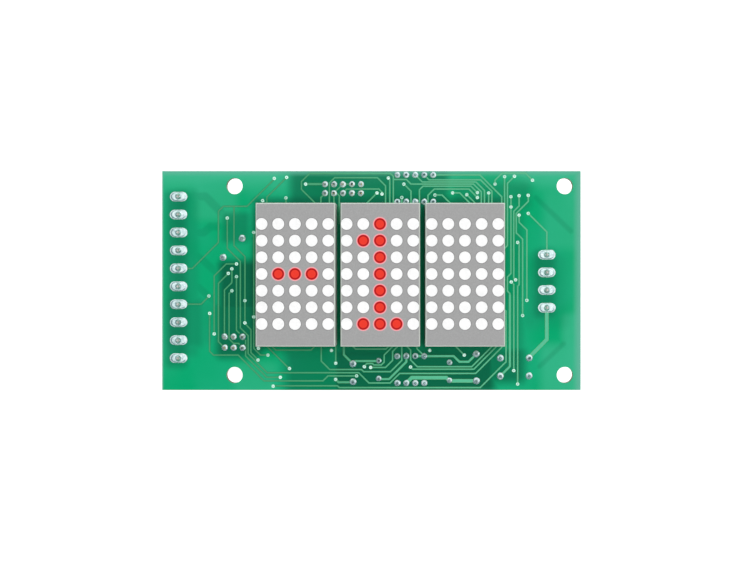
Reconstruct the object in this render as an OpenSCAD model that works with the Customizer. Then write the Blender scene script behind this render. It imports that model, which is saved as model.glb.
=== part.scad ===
// Three-digit dot matrix display board, with its connectors and supply parts on the rear.
// Millimetres. The origin is the centre of the four mounting holes, on the board's rear face.
// +Z points out of the display face, +X along the row of matrices, +Y up the digits.
// Places on the board are measured from its own centre, and at() moves them to the origin.
// They are given for a board of layout_l; on a longer one, place() moves its two ends outwards.

/* [Board] */
// Length of the circuit board
board_l = 118.5; // [118:0.5:124]
// Height of the circuit board
board_w = 62; // [61.8:0.1:66]
// Thickness of the circuit board
board_t = 1.6; // [1:0.1:2.4]
// Distance between mounting holes along the board
hole_span_x = 93.5; // [92:0.5:95]
// Distance between mounting holes across the board
hole_span_y = 53.5; // [52:0.5:54]
// Diameter of a mounting hole
mount_hole_d = 4.6; // [3.2:0.1:5]
// Distance from the right edge of the board to the nearest hole centres
right_inset = 4.5; // [3.5:0.1:5]

/* [Copper] */
// Thickness of the tracks and lands on each face
copper_t = 0.05; // [0.03:0.01:0.08]
// Width of a signal track
track_w = 0.35; // [0.3:0.05:0.5]
// Width of a supply track
supply_w = 0.55; // [0.5:0.05:0.7]
// Width of the track between the supply parts and the power connector
heavy_w = 1; // [0.8:0.1:1.2]
// Diameter of a via's land
via_land_d = 0.95; // [0.9:0.05:1.2]
// Diameter of a via's drilled hole
via_hole_d = 0.7; // [0.5:0.05:0.8]
// Bore left in a plated via
via_bore_d = 0.35; // [0.2:0.05:0.4]

/* [Matrices] */
// Distance between dot centres
dot_pitch = 4.57; // [4.4:0.01:4.65]
// Diameter of a dot
dot_d = 3.1; // [2.6:0.1:3.2]
// Distance from the outer dot centres to the side of a matrix
side_margin = 1.76; // [1.7:0.02:1.9]
// Distance from the outer dot centres to the top and bottom of a matrix
end_margin = 6; // [5.5:0.1:6.2]
// How far the dots sit off the middle of the face, to the left
dot_shift_x = 0.1; // [0:0.02:0.14]
// How far the dots sit off the middle of the face, upwards
dot_shift_y = 0.2; // [0:0.05:0.4]
// Depth of a matrix from its face to its lower edge
matrix_depth = 7.6; // [6.5:0.1:9]
// Height of the feet that hold a matrix off the board
matrix_foot = 0.4; // [0.3:0.1:0.8]
// Gap between neighbouring matrices
matrix_gap = 1.5; // [1:0.1:2]
// Wall of a matrix housing
matrix_wall = 1; // [0.8:0.1:1.2]
// Bevel round the face of a matrix
face_bevel = 0.3; // [0.1:0.05:0.4]
// Thickness of the board inside a matrix that carries its dies
carrier_t = 1; // [0.8:0.1:1.2]
// Depth of the resin behind the carrier
potting_t = 1.4; // [1:0.1:1.8]
// Side of a light-emitting die
die_w = 0.4; // [0.3:0.05:0.5]

/* [Connectors] */
// Number of ways of the signal connector
signal_ways = 10; // [8:1:10]
// Distance between ways of the signal connector
signal_pitch = 5.08; // [5.0:0.02:5.12]
// Distance from the left edge of the board to the signal pins
signal_inset = 4.65; // [4.4:0.05:5]
// Number of ways of the power connector
power_ways = 4; // [3:1:4]
// Distance between ways of the power connector
power_pitch = 5; // [4.9:0.02:5.1]
// Distance from the right edge of the board to the power pins
power_inset = 9.6; // [9:0.1:10]
// Height of a connector above the rear face
connector_h = 12; // [11.9:0.1:13]
// Wall of a connector's shroud
shroud_wall = 0.8; // [0.7:0.05:1]
// Width of the space for the plug, on the narrow side of the pins
plug_narrow = 2.1; // [2:0.05:2.3]
// Width of the space for the plug, on the wide side of the pins
plug_wide = 4.9; // [4.8:0.05:5.2]
// Side of a connector pin
contact_w = 1; // [0.8:0.05:1]
// Distance between header pins, switch pins and chip pins
pin_pitch = 2.54; // [2.5:0.01:2.56]
// Side of a header pin
header_pin_w = 0.64; // [0.5:0.02:0.7]
// Height of a header pin above the rear face
header_pin_h = 8.5; // [8:0.1:9]

/* [Switch] */
// Number of ways of the address switch
switch_ways = 5; // [3:1:5]
// Height of the address switch above the rear face
switch_h = 4.6; // [4.4:0.1:5]
// How far a slider travels
slider_travel = 1.6; // [1:0.1:1.8]
// Clearance round a slider
slider_gap = 0.15; // [0.1:0.01:0.2]

/* [Supply parts] */
// Diameter of a smoothing capacitor
can_d = 8; // [6.3:0.1:8]
// Height of a smoothing capacitor
can_h = 11.5; // [9:0.1:11.5]
// Distance between the leads of a radial part
radial_pitch = 5.08; // [5.0:0.02:5.1]
// Distance between the leads of an axial part and between the rows of a chip
row_pitch = 7.62; // [7.6:0.01:7.64]
// Diameter of the choke
choke_d = 8.5; // [7:0.1:8.6]
// Height of the choke
choke_h = 9; // [7:0.1:11]

/* [Hidden] */
$fn = 48;

EPS = 0.01;
GREEN = [0.04, 0.6, 0.42];
TRACK_GREEN = [0.45, 0.75, 0.55];
SILVER = [0.8, 0.82, 0.82];
BLACK = [0.08, 0.08, 0.09];
FACE_GREY = [0.65, 0.65, 0.65];

// Board
board_right = hole_span_x / 2 + right_inset;
board_cx = board_right - board_l / 2;
layout_l = 118.5;
// Places beyond ends_from move with the ends of the board by this share, and beyond ends_to fully
ends_from = 35.5;
ends_to = 46;
ends_part = 0.35;
// The row of supply parts lies below this line and keeps to the right end of the board
supply_row = -20;
supply_from = -20;
supply_to = -12;
function beyond(x) = x < ends_from ? 0 : x < ends_to ? ends_part : 1;
function supply_share(x) = min(1, max(0, (x - supply_from) / (supply_to - supply_from)));
function end_share(p) = (p.y < supply_row ? supply_share(p.x) : beyond(p.x)) - beyond(-p.x);
function place(p) = [p.x + end_share(p) * (board_l - layout_l) / 2, p.y];
front = board_t;
stub = 1.1;
lift = 0.1;

// Matrices
matrix_cols = 5;
matrix_rows = 7;
matrix_w = (matrix_cols - 1) * dot_pitch + 2 * side_margin;
matrix_h = (matrix_rows - 1) * dot_pitch + 2 * end_margin;
matrix_step = matrix_w + matrix_gap;
matrix_row = [2.7, 1.6];
matrix_top = matrix_row.y + matrix_h / 2;
matrix_bottom = matrix_row.y - matrix_h / 2;
matrix_low = front + matrix_foot;
matrix_foot_l = 2;
matrix_inside = [matrix_w - 2 * matrix_wall, matrix_h - 2 * matrix_wall];
matrix_face = matrix_low + matrix_depth;
carrier_low = matrix_low + potting_t + 0.2;
carrier_top = carrier_low + carrier_t;
dot_recess = 0.05;
die_h = 0.2;
die_gap = 0.1;
carrier_gap = 0.1;
matrix_pin_top = carrier_low + carrier_t / 2;
matrix_pin_d = 0.5;
matrix_pin_columns = [-7.62, 7.62];
matrix_pin_rows = 6;
function matrix_x(m) = matrix_row.x + (m - 2) * matrix_step;

// Lit dots, as column and row counted from the top left
LIT_MINUS = [[1, 3], [2, 3], [3, 3]];
LIT_ONE = [[1, 1], [2, 0], [2, 1], [2, 2], [2, 3], [2, 4], [2, 5], [2, 6], [1, 6], [3, 6]];
LIT = [LIT_MINUS, LIT_ONE, []];

// Connectors
signal_x = -layout_l / 2 + signal_inset;
signal_y = 0.9;
power_x = layout_l / 2 - power_inset;
power_y = -0.2;
shroud_floor = 3;
rib_size = [0.3, 1.2];
rib_inset = 1;
latch_slot = [1.8, 4];
contact_tip = connector_h - 1.5;
pin_fillet = 0.5;
pad_l = 5;
pad_w = 2.7;
pad_solder = 0.3;
function column(x, y, ways, pitch) =
    [for (i = [0:ways - 1]) [x, y + ((ways - 1) / 2 - i) * pitch]];
signal_leads = column(signal_x, signal_y, signal_ways, signal_pitch);
power_leads = column(power_x, power_y, power_ways, power_pitch);

// Headers, switch and chip on a common grid
function grid(centre, cols, rows, col_pitch, row_gap) =
    [for (r = [0:rows - 1], c = [0:cols - 1])
        centre + [(c - (cols - 1) / 2) * col_pitch, ((rows - 1) / 2 - r) * row_gap]];
ribbon_at = [-8.05, 26];
jumper_at = [[-39, -15.9], [-39, -19]];
switch_at = [12.4, 26.1];
regulator_at = [11.15, -25.2];
ribbon_leads = grid(ribbon_at, 5, 2, pin_pitch, pin_pitch);
jumper_leads = [for (j = jumper_at) each grid(j, 3, 1, pin_pitch, 0)];
switch_leads = grid(switch_at, switch_ways, 2, pin_pitch, row_pitch);
regulator_leads_at = grid(regulator_at, 4, 2, pin_pitch, row_pitch);
header_h = 2.5;
header_cut = 0.6;
jumper_w = 2.4;
cap_low = lift + header_h + 0.1;
cap_wall = 0.6;
cap_at = [jumper_at[0] - [pin_pitch / 2, 0], jumper_at[1] + [pin_pitch / 2, 0]];
clip_t = 0.2;
clip_h = 4.5;
clip_size = [pin_pitch + header_pin_w + 2 * clip_t, header_pin_w + 2 * clip_t];
clip_end = header_pin_h + clip_t;
chip_lead = [0.5, 0.25];

// Two-lead parts, as centre and the angle of the line through the leads
capacitor_at = [[-5.2, -26.1], [36.5, -24.5]];
film_at = [2.1, -25.2];
choke_at = [22.1, -25.7];
fuse_at = [44.65, -24.45];
diode_at = [[29.7, -24.6, 90], [-39.3, 9.25, 45]];
function pair(p, span, angle = 90) =
    [for (s = [1, -1]) [p.x, p.y] + s * span / 2 * [cos(angle), sin(angle)]];
big_leads_at = [for (p = concat(capacitor_at, [fuse_at])) each pair(p, radial_pitch)];
small_leads_at = [for (p = [film_at, choke_at]) each pair(p, radial_pitch)];
diode_leads_at = [for (p = diode_at) each pair(p, row_pitch, p[2])];
radial_lead_d = 0.6;
diode_lead_d = 0.8;

// Address switch
switch_size = [switch_ways * pin_pitch + 1.2, 9.2];
switch_base_h = 1.4;
switch_skin = 0.8;
foot_size = [1.6, 2];
knob_size = [1, 1.2];
knob_rise = 0.4;
cavity_floor = -lift - switch_base_h;
cavity_roof = -switch_h + switch_skin;
function switch_x(k) = (k - 1 - (switch_ways - 1) / 2) * pin_pitch;

// Supply parts
chip_stand = 0.5;
draft = 0.12;
regulator_size = [9.6, 6.4, 3.3];
shoulder = [1.3, 0.25];
part_stand = 0.4;
bung_top = 1.4;
bung_wall = 0.7;
sleeve_t = 0.15;
rim_w = 1.2;
vent_size = [0.6 * can_d, 0.3, 0.15];
film_size = [3, 7.2, 7.5];
film_round = 1;
film_bevel = 0.5;
flange_t = 1;
bobbin_r = 2;
diode_size = [5.2, 2.7];
diode_z = -part_stand - diode_size.y / 2;
fuse_d = 7.4;
fuse_t = 3;
fuse_edge = [0.4, 1.2];
notch_size = [1.6, 0.6];
index_dot = [0.8, 0.15];
index_inset = [1, -1];

// Matrix leads
function matrix_leads(m) =
    [for (x = matrix_pin_columns, r = [0:matrix_pin_rows - 1])
        [matrix_x(m) + x, matrix_row.y + ((matrix_pin_rows - 1) / 2 - r) * pin_pitch]];
all_matrix_leads = [for (m = [1:3]) each matrix_leads(m)];

// Land diameters
header_land_d = 1.8;
small_land_d = 1.6;
blob_land_d = 2;
rear_pad_d = 2.4;
matrix_land_d = 1.5;

contact_section = [contact_w, contact_w];
// Length of a connector pin's pointed end, and the share of its side left at the point
contact_point_h = 0.3;
contact_point = 0.5;
contact_shoulder = board_t + stub - contact_point_h;
header_section = [header_pin_w, header_pin_w];

// Places, section and land diameter of the leads soldered on the front
PARTS = [
    [ribbon_leads, header_section, header_land_d],
    [jumper_leads, header_section, header_land_d],
    [switch_leads, chip_lead, header_land_d],
    [regulator_leads_at, chip_lead, header_land_d],
    [big_leads_at, radial_lead_d, blob_land_d],
    [small_leads_at, radial_lead_d, small_land_d],
    [diode_leads_at, diode_lead_d, blob_land_d]];
SQUARE_LANDS = [ribbon_leads[0], regulator_leads_at[0], jumper_leads[2], jumper_leads[5]];

// Vias, from the board's centre
VIAS = [
    [-27.5, 28.9], [-24, 29.2], [-24.2, 23.4], [-30.8, 22.6], [-18.6, 27.3], [-40.8, 17.7],
    [-38.2, 4.7], [-39.5, 3.3], [-40.5, 2], [-38.2, 1.1], [-39.5, -2.9], [-35.8, -5.7],
    [-35.8, -12], [-33.3, -10.3], [-33.3, 13.6], [-46, -4.4], [-45.8, -9.3], [-44.5, -15.1],
    [-29.3, -21.1], [-32.1, -22.5], [-32, -19.2], [-23.2, -24.9], [-25.8, -27.4], [-27.8, -29.9],
    [-11.3, -19.8], [-10.1, -23.4], [-10.1, -28], [-4.2, -27], [-2, -24.4],
    [4.8, 29], [9.2, 27.3], [8.6, 23.5], [1.6, 24.8], [3, 24.5], [18, 24.2], [23, 24.8],
    [27, 24.3], [30, 24.9], [30, 23.5], [33.2, 24.8], [35, 27.3], [37.7, 29.4], [40.5, 29.5],
    [45.6, 28.4], [39.5, 23.7], [41.8, 24], [44.4, 24.1], [39.5, 20.8], [41.8, 18.5], [44.4, 19],
    [41.4, 10.8], [40.8, 0.2], [39.6, -0.4], [44, -5.6], [42.8, -9.9], [16.5, -19.8],
    [26.3, -21.1], [-0.2, -24.6], [11.1, -24.5], [40.3, -25.5], [41.4, -29.3]];

// Ends of the tracks that run in under the matrices
UT = matrix_top - 0.4;
UB = matrix_bottom + 0.3;

// Tracks on the front, as width and corner points from the board's centre
LEFT_TRACKS = [
    [track_w, [[signal_x, 3.4], [-50.7, 3.4], [-43.3, 10.8], [-43.3, 19.6], [-41.9, 21], [-35.2, 21],
        [-27.4, 28.8]]],
    [track_w, [[-38.9, 21], [-38.9, 9.9], [-35.8, 6.8], [-35.8, -12.2], [-34.1, -13.9], [-34.1, -20.4],
        [-32, -22.5]]],
    [track_w, [[-40.8, 17.7], [-40.8, 9.1], [-37.1, 5.4], [-37.1, -13.4], [-34.9, -15.6],
        [-34.9, -20.7], [-29.5, -26.1], [-3.6, -26.1], [-0.7, -29], [5.3, -29], [8, -26.3],
        [29.5, -26.3], [36.9, -18.9], [36.9, UB]]],
    [track_w, [[-38.2, 4.7], [-41.1, 4.7], [-44.5, 1.3], [-44.5, -15.1]]],
    [track_w, [[-39.5, 3.3], [-39.5, -0.6], [-41.6, -2.7], [-41.6, -15.9]]],
    [track_w, [[-40.5, 2], [-43.3, -0.8], [-43.3, -17.3], [-41.6, -19]]],
    [track_w, [[-38.2, 1.1], [-38.2, -14.1], [-36.4, -15.9]]],
    [track_w, [[-39.5, -2.9], [-40.3, -3.7], [-40.3, -16.5], [-39, -17.8], [-39, -19]]],
    [track_w, [[-39, -17.8], [-37.6, -17.8], [-36.5, -18.9]]],
    [track_w, [[signal_x, -6.7], [-48.2, -6.7], [-46, -4.5]]],
    [track_w, [[-45.8, -9.3], [-45.8, -20], [-44.7, -21.1], [-37.7, -21.1], [-30.4, -28.4],
        [-13.7, -28.4], [-12.3, -27], [-4.2, -27]]],
    [track_w, [[-36.5, -16], [-35.6, -16.9], [-35.6, -21.4], [-29.6, -27.4], [-25.8, -27.4]]],
    [track_w, [[-33.3, 13.6], [-33.3, -19.2], [-31.4, -21.1], [-29.3, -21.1]]],
    [track_w, [[-30.4, UB], [-23.3, -24.9]]],
    [track_w, [[-29, UB], [-27.1, -19.7], [-17.1, -19.7], [-15.2, UB]]],
    [track_w, [[-27.8, -29.8], [-9.6, -29.8], [-9.1, -30.3], [30.8, -30.3], [38.1, -23], [38.1, -8.7],
        [36.3, -6.9]]],
    [track_w, [[-14.2, UB], [-14.2, -22.8], [-11.8, -25.2], [-2.8, -25.2], [-2.2, -25.8], [5.4, -25.8],
        [8.6, -22.6], [8.6, UB]]]];
BOTTOM_TRACKS = [
    [supply_w, [[2.1, -27.9], [5, -27.9], [9.9, -23], [9.9, -21.4]]],
    [track_w, [[-10.1, UB], [-10.1, -23.4]]],
    [supply_w, [[-10.1, -28], [-9.3, -28.8], [-5.2, -28.8]]],
    [supply_w, [[-7.8, UB], [-7.8, -21], [-5.2, -23.6]]],
    [supply_w, [[-5.3, -23.4], [-4.7, -22.8], [2.1, -22.8]]],
    [track_w, [[-6, UB], [-4.5, -19.4], [4.1, -19.4], [5, -18.5], [5, UB]]],
    [track_w, [[-2.2, -24.4], [-1.3, -23.5], [0.3, -23.5], [0.7, -23.9], [2.8, -23.9], [3.6, -23.1],
        [3.6, -21.1], [6.2, -18.5], [6.2, UB]]],
    [track_w, [[-0.2, -24.6], [4, -24.6], [6, -22.6], [6, -20.1], [7.5, -18.6], [7.5, UB]]],
    [track_w, [[9.9, UB], [9.9, -18.5], [11.1, -19.7], [11.1, -22.5], [13, -24.4], [28.4, -24.4],
        [35, UB]]],
    [track_w, [[11.1, -24.5], [11.7, -25.1], [29, -25.1], [36.2, -17.9]]],
    [track_w, [[12.9, UB], [12.9, -19.3], [14.9, -21.3]]],
    [supply_w, [[12.4, -21.4], [23.3, -21.4], [24.9, -23], [27.5, -23], [29.7, -20.8]]],
    [track_w, [[23, UB], [26.3, -21.1]]],
    [heavy_w, [[9.9, -29], [11.4, -27.5], [21.2, -27.5], [22.1, -28.4], [29.7, -28.4]]],
    [heavy_w, [[power_x, -7.7], [power_x, -16.7], [44.7, -21.7]]]];
TOP_TRACKS = [
    [track_w, [[-24, 29.2], [-29.6, 23.6], [-29.6, UT]]],
    [track_w, [[-24.2, 23.4], [-24.2, UT]]],
    [track_w, [[-30.8, 22.6], [-30.8, UT]]],
    [track_w, [[-14.9, UT], [-19.8, 25.8], [-19.8, 28], [-17.5, 30.3], [5.4, 30.3], [6.2, 29.5],
        [6.2, UT]]],
    [supply_w, [[-18.6, 27.3], [-13.1, 27.3]]],
    [track_w, [[-11.9, UT], [-11.9, 27.6], [-10.4, 29.1], [1.7, 29.1], [4, 26.8], [4, UT]]],
    [track_w, [[-13.1, 24.7], [-14.3, 23.5], [-14.3, UT]]],
    [track_w, [[-10.6, 24.7], [-10.6, 21.9], [-9.9, 21.2], [-9.9, 18]]],
    [track_w, [[-8.1, 27.3], [-10.6, 24.8]]],
    [track_w, [[-10.6, 24.5], [-9.6, 24.5], [-9.1, 24], [-9.1, 16]]],
    [track_w, [[-8.1, 27.3], [-5.5, 27.3]]],
    [track_w, [[-8.1, 24.8], [-7, 25.9], [2.1, 25.9], [3, 25], [3, 24.5]]],
    [track_w, [[1.6, 24.8], [-2.3, UT]]],
    [track_w, [[4.8, 29], [5.2, 28.6], [5.2, UT]]],
    [track_w, [[6.2, 28.6], [9.9, 28.6], [11.2, 27.3], [28.9, 27.3], [31.1, 25.1], [31.1, UT]]],
    [track_w, [[9.2, 27.3], [11.2, 25.3], [11.2, UT]]],
    [track_w, [[8.6, 23.5], [8.6, UT]]],
    [track_w, [[12.4, 29.9], [14.4, 27.9], [29.6, 27.9], [32, 25.5], [32, UT]]],
    [track_w, [[14.9, 29.9], [16.3, 28.5], [30.9, 28.5], [34.1, 25.3], [34.1, UT]]],
    [track_w, [[17.5, 29.9], [30.7, 29.9], [36.9, 23.7], [36.9, UT]]],
    [track_w, [[13.6, UT], [13.6, 25.7], [14.6, 26.7], [28.2, 26.7], [30, 24.9]]],
    [track_w, [[16, UT], [16, 24.1], [17.8, 25.9], [27.6, 25.9], [30, 23.5]]],
    [track_w, [[18, 24.2], [20, 24.2], [23.3, UT]]],
    [track_w, [[23, 24.8], [25, 24.8], [28.9, UT]]],
    [track_w, [[27, 24.3], [30.4, UT]]],
    [track_w, [[33.2, 24.8], [33.2, UT]]]];
RIGHT_TRACKS = [
    [track_w, [[35, 27.3], [35, 28.4], [37, 30.4], [43.6, 30.4], [45.6, 28.4]]],
    [track_w, [[37.7, 29.4], [37.7, 12]]],
    [track_w, [[40.5, 29.5], [38.5, 27.5], [38.5, 9.9], [36.6, 8]]],
    [track_w, [[39.5, 23.7], [39.5, 2], [38.5, 1], [38.5, -3], [39.2, -3.7], [39.2, -6]]],
    [supply_w, [[39.2, -4], [39.2, -24.3], [36.5, -27]]],
    [track_w, [[41.8, 24], [41.8, 21.1], [40.3, 19.6], [40.3, 0.8], [40.8, 0.3]]],
    [track_w, [[44.4, 24.1], [44.4, 22.4], [41, 19], [41, 13.5], [42.8, 11.7], [42.8, -9.9]]],
    [track_w, [[41.8, 18.5], [41.8, 16.5], [44, 14.3], [44, -5.6]]],
    [track_w, [[44.4, 19], [power_x, 13.75], [power_x, 7.3]]],
    [track_w, [[41.4, 10.8], [41.8, 10.4], [41.8, -1.2], [41.4, -1.6], [41.4, -29.3]]],
    [track_w, [[39.6, -0.4], [40.3, -1.1], [40.3, -25.5]]]];

// Surface mounted parts
smd_gap = copper_t + 0.01;
chip_low = 0.15;
resistor_step = 3.2;
resistor_y = 12.5;
function resistor_x(m, k) = matrix_x(m) + (k - 2) * resistor_step;
resistor_size = [1.25, 2, 0.5];
resistor_end = 0.4;
resistor_at = [for (m = [1, 3], k = [0:4]) [resistor_x(m, k), resistor_y]];
resistor_bend_y = resistor_y - 1.6;
resistor_rail_y = resistor_y + 3;
driver_at = [[matrix_x(1), matrix_row.y], [matrix_x(3), matrix_row.y], [matrix_row.x, 14]];
driver_size = [9.9, 3.9, 1.5];
driver_reach = 3;
driver_pitch = 1.27;
function driver_lead_x(m, k) = matrix_x(m) + (k - 2.5) * driver_pitch;
processor_at = [matrix_row.x, 0];
processor_w = 10;
processor_h = 2;
processor_reach = 6;
processor_pitch = 0.8;
processor_row = 11;
driver_row = 8;
processor_lead = [1.2, 0.35];
driver_lead = [0.9, 0.4];
transistor_lead = [0.6, 0.45];
transistor_y = -13.5;
transistor_size = [2.9, 1.3, 1];
transistor_step = 4.2;
transistor_rail_y = transistor_y - 2.6;
transistor_reach = 1.25;
transistor_pitch = 1.9;
function transistor_x(k) = matrix_row.x + (k - 3) * transistor_step;
crystal_at = [matrix_row.x, -9];
crystal_size = [10.6, 3.8, 3.5];
crystal_edge = 0.3;
crystal_flange = 0.6;

// Low and high end of each step of the crystal's can, and how much wider than the can it is
CRYSTAL_STEPS = [
    [-crystal_size.z, -crystal_size.z + crystal_edge, -crystal_edge],
    [-crystal_size.z + crystal_edge, -lift - crystal_flange, 0],
    [-lift - crystal_flange, -lift, crystal_flange]];
lead_t = 0.15;

// Tracks on the rear, as width and corner points from the board's centre
REAR_TRACKS = concat(
    [for (m = [1, 3], k = [0:4]) let (x = resistor_x(m, k), c = driver_lead_x(m, k))
        [track_w, [[x, resistor_y - resistor_size.y / 2 + resistor_end / 2], [x, resistor_bend_y],
            [c, resistor_bend_y - abs(c - x)], [c, matrix_row.y + driver_reach - resistor_end]]]],
    [for (p = resistor_at)
        [track_w, [p + [0, resistor_size.y / 2 - resistor_end / 2], [p.x, resistor_rail_y]]]],
    [for (m = [1, 3])
        [supply_w, [[resistor_x(m, 0) - supply_w / 2, resistor_rail_y],
            [resistor_x(m, 4) + supply_w / 2, resistor_rail_y]]]],
    [for (k = [0:6]) let (x = transistor_x(k))
        [track_w, [[x, transistor_y - transistor_reach + lead_t], [x, transistor_rail_y]]]],
    [[supply_w, [[transistor_x(0) - supply_w / 2, transistor_rail_y],
        [transistor_x(6) + supply_w / 2, transistor_rail_y]]],
     [heavy_w, [[power_x, 2.3], [46, -1.3], [46, -18], [44.65, -19.35], [44.65, -21.9]]],
     [heavy_w, [[44.65, -27], [36.5, -27]]],
     [supply_w, [[36.5, -21.9], [33, -18.4], [-2, -18.4], [-5.2, -21.6], [-5.2, -23.6]]],
     [supply_w, [[22.1, -23.2], [17.3, -18.4]]],
     [supply_w, [diode_leads_at[2], diode_leads_at[2] + [-2.8, 2.8], [-47, signal_leads[2].y + 1.1],
         [-49, signal_leads[2].y], signal_leads[2]]],
     [supply_w, [diode_leads_at[3], [-44, 6.6], signal_leads[3] + [4, 0], signal_leads[3]]]]);

// ---- shared shapes ----

module on_board() translate([board_cx, 0, 0]) children();

module at(p) on_board() translate(concat(place(p), 0)) children();

module box(size, low) translate([-size.x / 2, -size.y / 2, low]) cube(size);

// Box whose four sides and far edges slope in by a bevel, as a moulding's do
module moulding(size, low, bevel) {
    function outline(w) = [[-w / 2 + bevel, low], [w / 2 - bevel, low], [w / 2, low + size.z / 2],
        [w / 2 - bevel, low + size.z], [-w / 2 + bevel, low + size.z], [-w / 2, low + size.z / 2]];
    intersection() {
        translate([0, size.y / 2, 0]) rotate([90, 0, 0]) linear_extrude(size.y) polygon(outline(size.x));
        translate([-size.x / 2, 0, 0]) rotate([90, 0, 90]) linear_extrude(size.x) polygon(outline(size.y));
    }
}

// Flat strip of constant width through a list of points, with mitred corners
function unit(v) = v / norm(v);
function turned(v) = [-v.y, v.x];
function strip_edge(p, i, half) =
    let (last = len(p) - 1,
        before = unit(p[max(i, 1)] - p[max(i, 1) - 1]),
        after = unit(p[min(i, last - 1) + 1] - p[min(i, last - 1)]),
        m = turned(before) + turned(after))
    p[i] + half * m * 2 / (m * m);
module strip(width, p)
    polygon(concat(
        [for (i = [0:len(p) - 1]) strip_edge(p, i, width / 2)],
        [for (i = [len(p) - 1:-1:0]) strip_edge(p, i, -width / 2)]));

// Rectangle with round ends
module oval(l, w) {
    square([l - w, w], center = true);
    for (s = [-1, 1])
        translate([s * (l - w) / 2, 0]) circle(d = w);
}

// Rectangle with round corners
module rounded(l, w, r) {
    square([l - 2 * r, w], center = true);
    square([l, w - 2 * r], center = true);
    for (x = [-1, 1], y = [-1, 1])
        translate([x * (l / 2 - r), y * (w / 2 - r)]) circle(r = r);
}

// Section of a lead: a list of two sides, or a diameter
module section(lead)
    if (is_list(lead)) square(lead, center = true);
    else circle(d = lead);

module lead(section, low, high)
    translate([0, 0, low]) linear_extrude(high - low) section(section);

function across(lead) = is_list(lead) ? norm(lead) : lead;
function drill(lead) = across(lead) + 0.2;

// ---- leads, their lands and their solder ----

module dots_at(places, d)
    for (p = places)
        translate(place(p)) circle(d = d);

module part_lands() {
    dots_at(VIAS, via_land_d);
    for (part = PARTS)
        dots_at(part[0], part[2]);
    for (p = SQUARE_LANDS)
        translate(place(p)) square(header_land_d, center = true);
}

module front_lands() {
    part_lands();
    dots_at(all_matrix_leads, matrix_land_d);
    for (p = concat(signal_leads, power_leads))
        translate(place(p)) oval(pad_l, pad_w);
}

module rear_lands() {
    part_lands();
    dots_at(concat(signal_leads, power_leads), rear_pad_d);
    dots_at(all_matrix_leads, matrix_land_d);
}

module drilled() {
    dots_at(VIAS, via_hole_d);
    for (part = PARTS)
        dots_at(part[0], drill(part[1]));
    dots_at(concat(signal_leads, power_leads), drill(contact_section));
    dots_at(all_matrix_leads, drill(matrix_pin_d));
}

// Solder at one lead: lands on both faces, a barrel between them and a fillet above board_t
module solder(lead, land_d, rise) {
    r = land_d / 2;
    tip = across(lead) / 2 + 0.05;
    hole = drill(lead) / 2;
    base = board_t + copper_t;
    difference() {
        rotate_extrude()
            polygon(concat(
                [[0, -copper_t], [r, -copper_t], [r, 0], [hole, 0], [hole, board_t], [r, board_t]],
                [for (t = [0:0.25:1]) [tip + (r - tip) * pow(1 - t, 2), base + (rise - copper_t) * t]],
                [[0, board_t + rise]]));
        lead(lead, -1, board_t + rise + 1);
    }
}

module square_land(lead, w)
    for (z = [-copper_t, board_t])
        translate([0, 0, z]) linear_extrude(copper_t)
            difference() {
                square(w, center = true);
                circle(d = across(lead));
            }

// Oval pad of a connector, with solder over it and up its pin
module pad_joint(lead) {
    hole = drill(lead) / 2;
    tip = across(lead) / 2 + 0.05;
    difference() {
        union() {
            translate([0, 0, board_t]) linear_extrude(pad_solder) oval(pad_l, pad_w);
            translate([0, 0, board_t + pad_solder]) cylinder(r1 = pad_w / 2 - 0.1, r2 = tip, h = pin_fillet);
            cylinder(r = hole, h = board_t);
            translate([0, 0, -copper_t]) cylinder(d = rear_pad_d, h = copper_t);
        }
        lead(lead, -1, board_t + 2);
    }
}

// ---- board ----

module circuit_board() color(GREEN)
    difference() {
        linear_extrude(board_t)
            on_board()
                difference() {
                    square([board_l, board_w], center = true);
                    drilled();
                }
        for (x = [-1, 1], y = [-1, 1])
            translate([x * hole_span_x / 2, y * hole_span_y / 2, -EPS])
                cylinder(d = mount_hole_d, h = board_t + 2 * EPS);
    }

module front_tracks() color(TRACK_GREEN)
    on_board() translate([0, 0, board_t])
        linear_extrude(copper_t)
            difference() {
                for (t = concat(LEFT_TRACKS, BOTTOM_TRACKS, TOP_TRACKS, RIGHT_TRACKS))
                    strip(t[0], [for (p = t[1]) place(p)]);
                front_lands();
            }

module rear_tracks() color(TRACK_GREEN)
    on_board() translate([0, 0, -copper_t])
        linear_extrude(copper_t)
            difference() {
                for (t = REAR_TRACKS)
                    strip(t[0], [for (p = t[1]) place(p)]);
                rear_lands();
            }

module vias() color("palegreen")
    for (p = VIAS)
        at(p)
            rotate_extrude()
                polygon([[via_bore_d / 2, -copper_t], [via_land_d / 2, -copper_t], [via_land_d / 2, 0],
                    [via_hole_d / 2, 0], [via_hole_d / 2, board_t], [via_land_d / 2, board_t],
                    [via_land_d / 2, board_t + copper_t], [via_bore_d / 2, board_t + copper_t]]);

module signal_solder() color(SILVER)
    for (p = signal_leads)
        at(p) pad_joint(contact_section);

module power_solder() color(SILVER)
    for (p = power_leads)
        at(p) pad_joint(contact_section);

module part_solder() color(SILVER) {
    for (part = PARTS, p = part[0])
        at(p) solder(part[1], part[2], part[2] / 2);
    for (p = SQUARE_LANDS)
        at(p) square_land(header_section, header_land_d);
}

module matrix_solder() color(SILVER)
    for (p = all_matrix_leads)
        at(p)
            translate([0, 0, board_t]) mirror([0, 0, 1])
                solder(matrix_pin_d, matrix_land_d, matrix_land_d / 2);

// ---- matrices ----

function dot_place(c, r) = [
    (c - (matrix_cols - 1) / 2) * dot_pitch - dot_shift_x,
    ((matrix_rows - 1) / 2 - r) * dot_pitch + dot_shift_y];
function is_lit(m, c, r) = len([for (d = LIT[m - 1]) if (d == [c, r]) d]) > 0;

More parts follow.
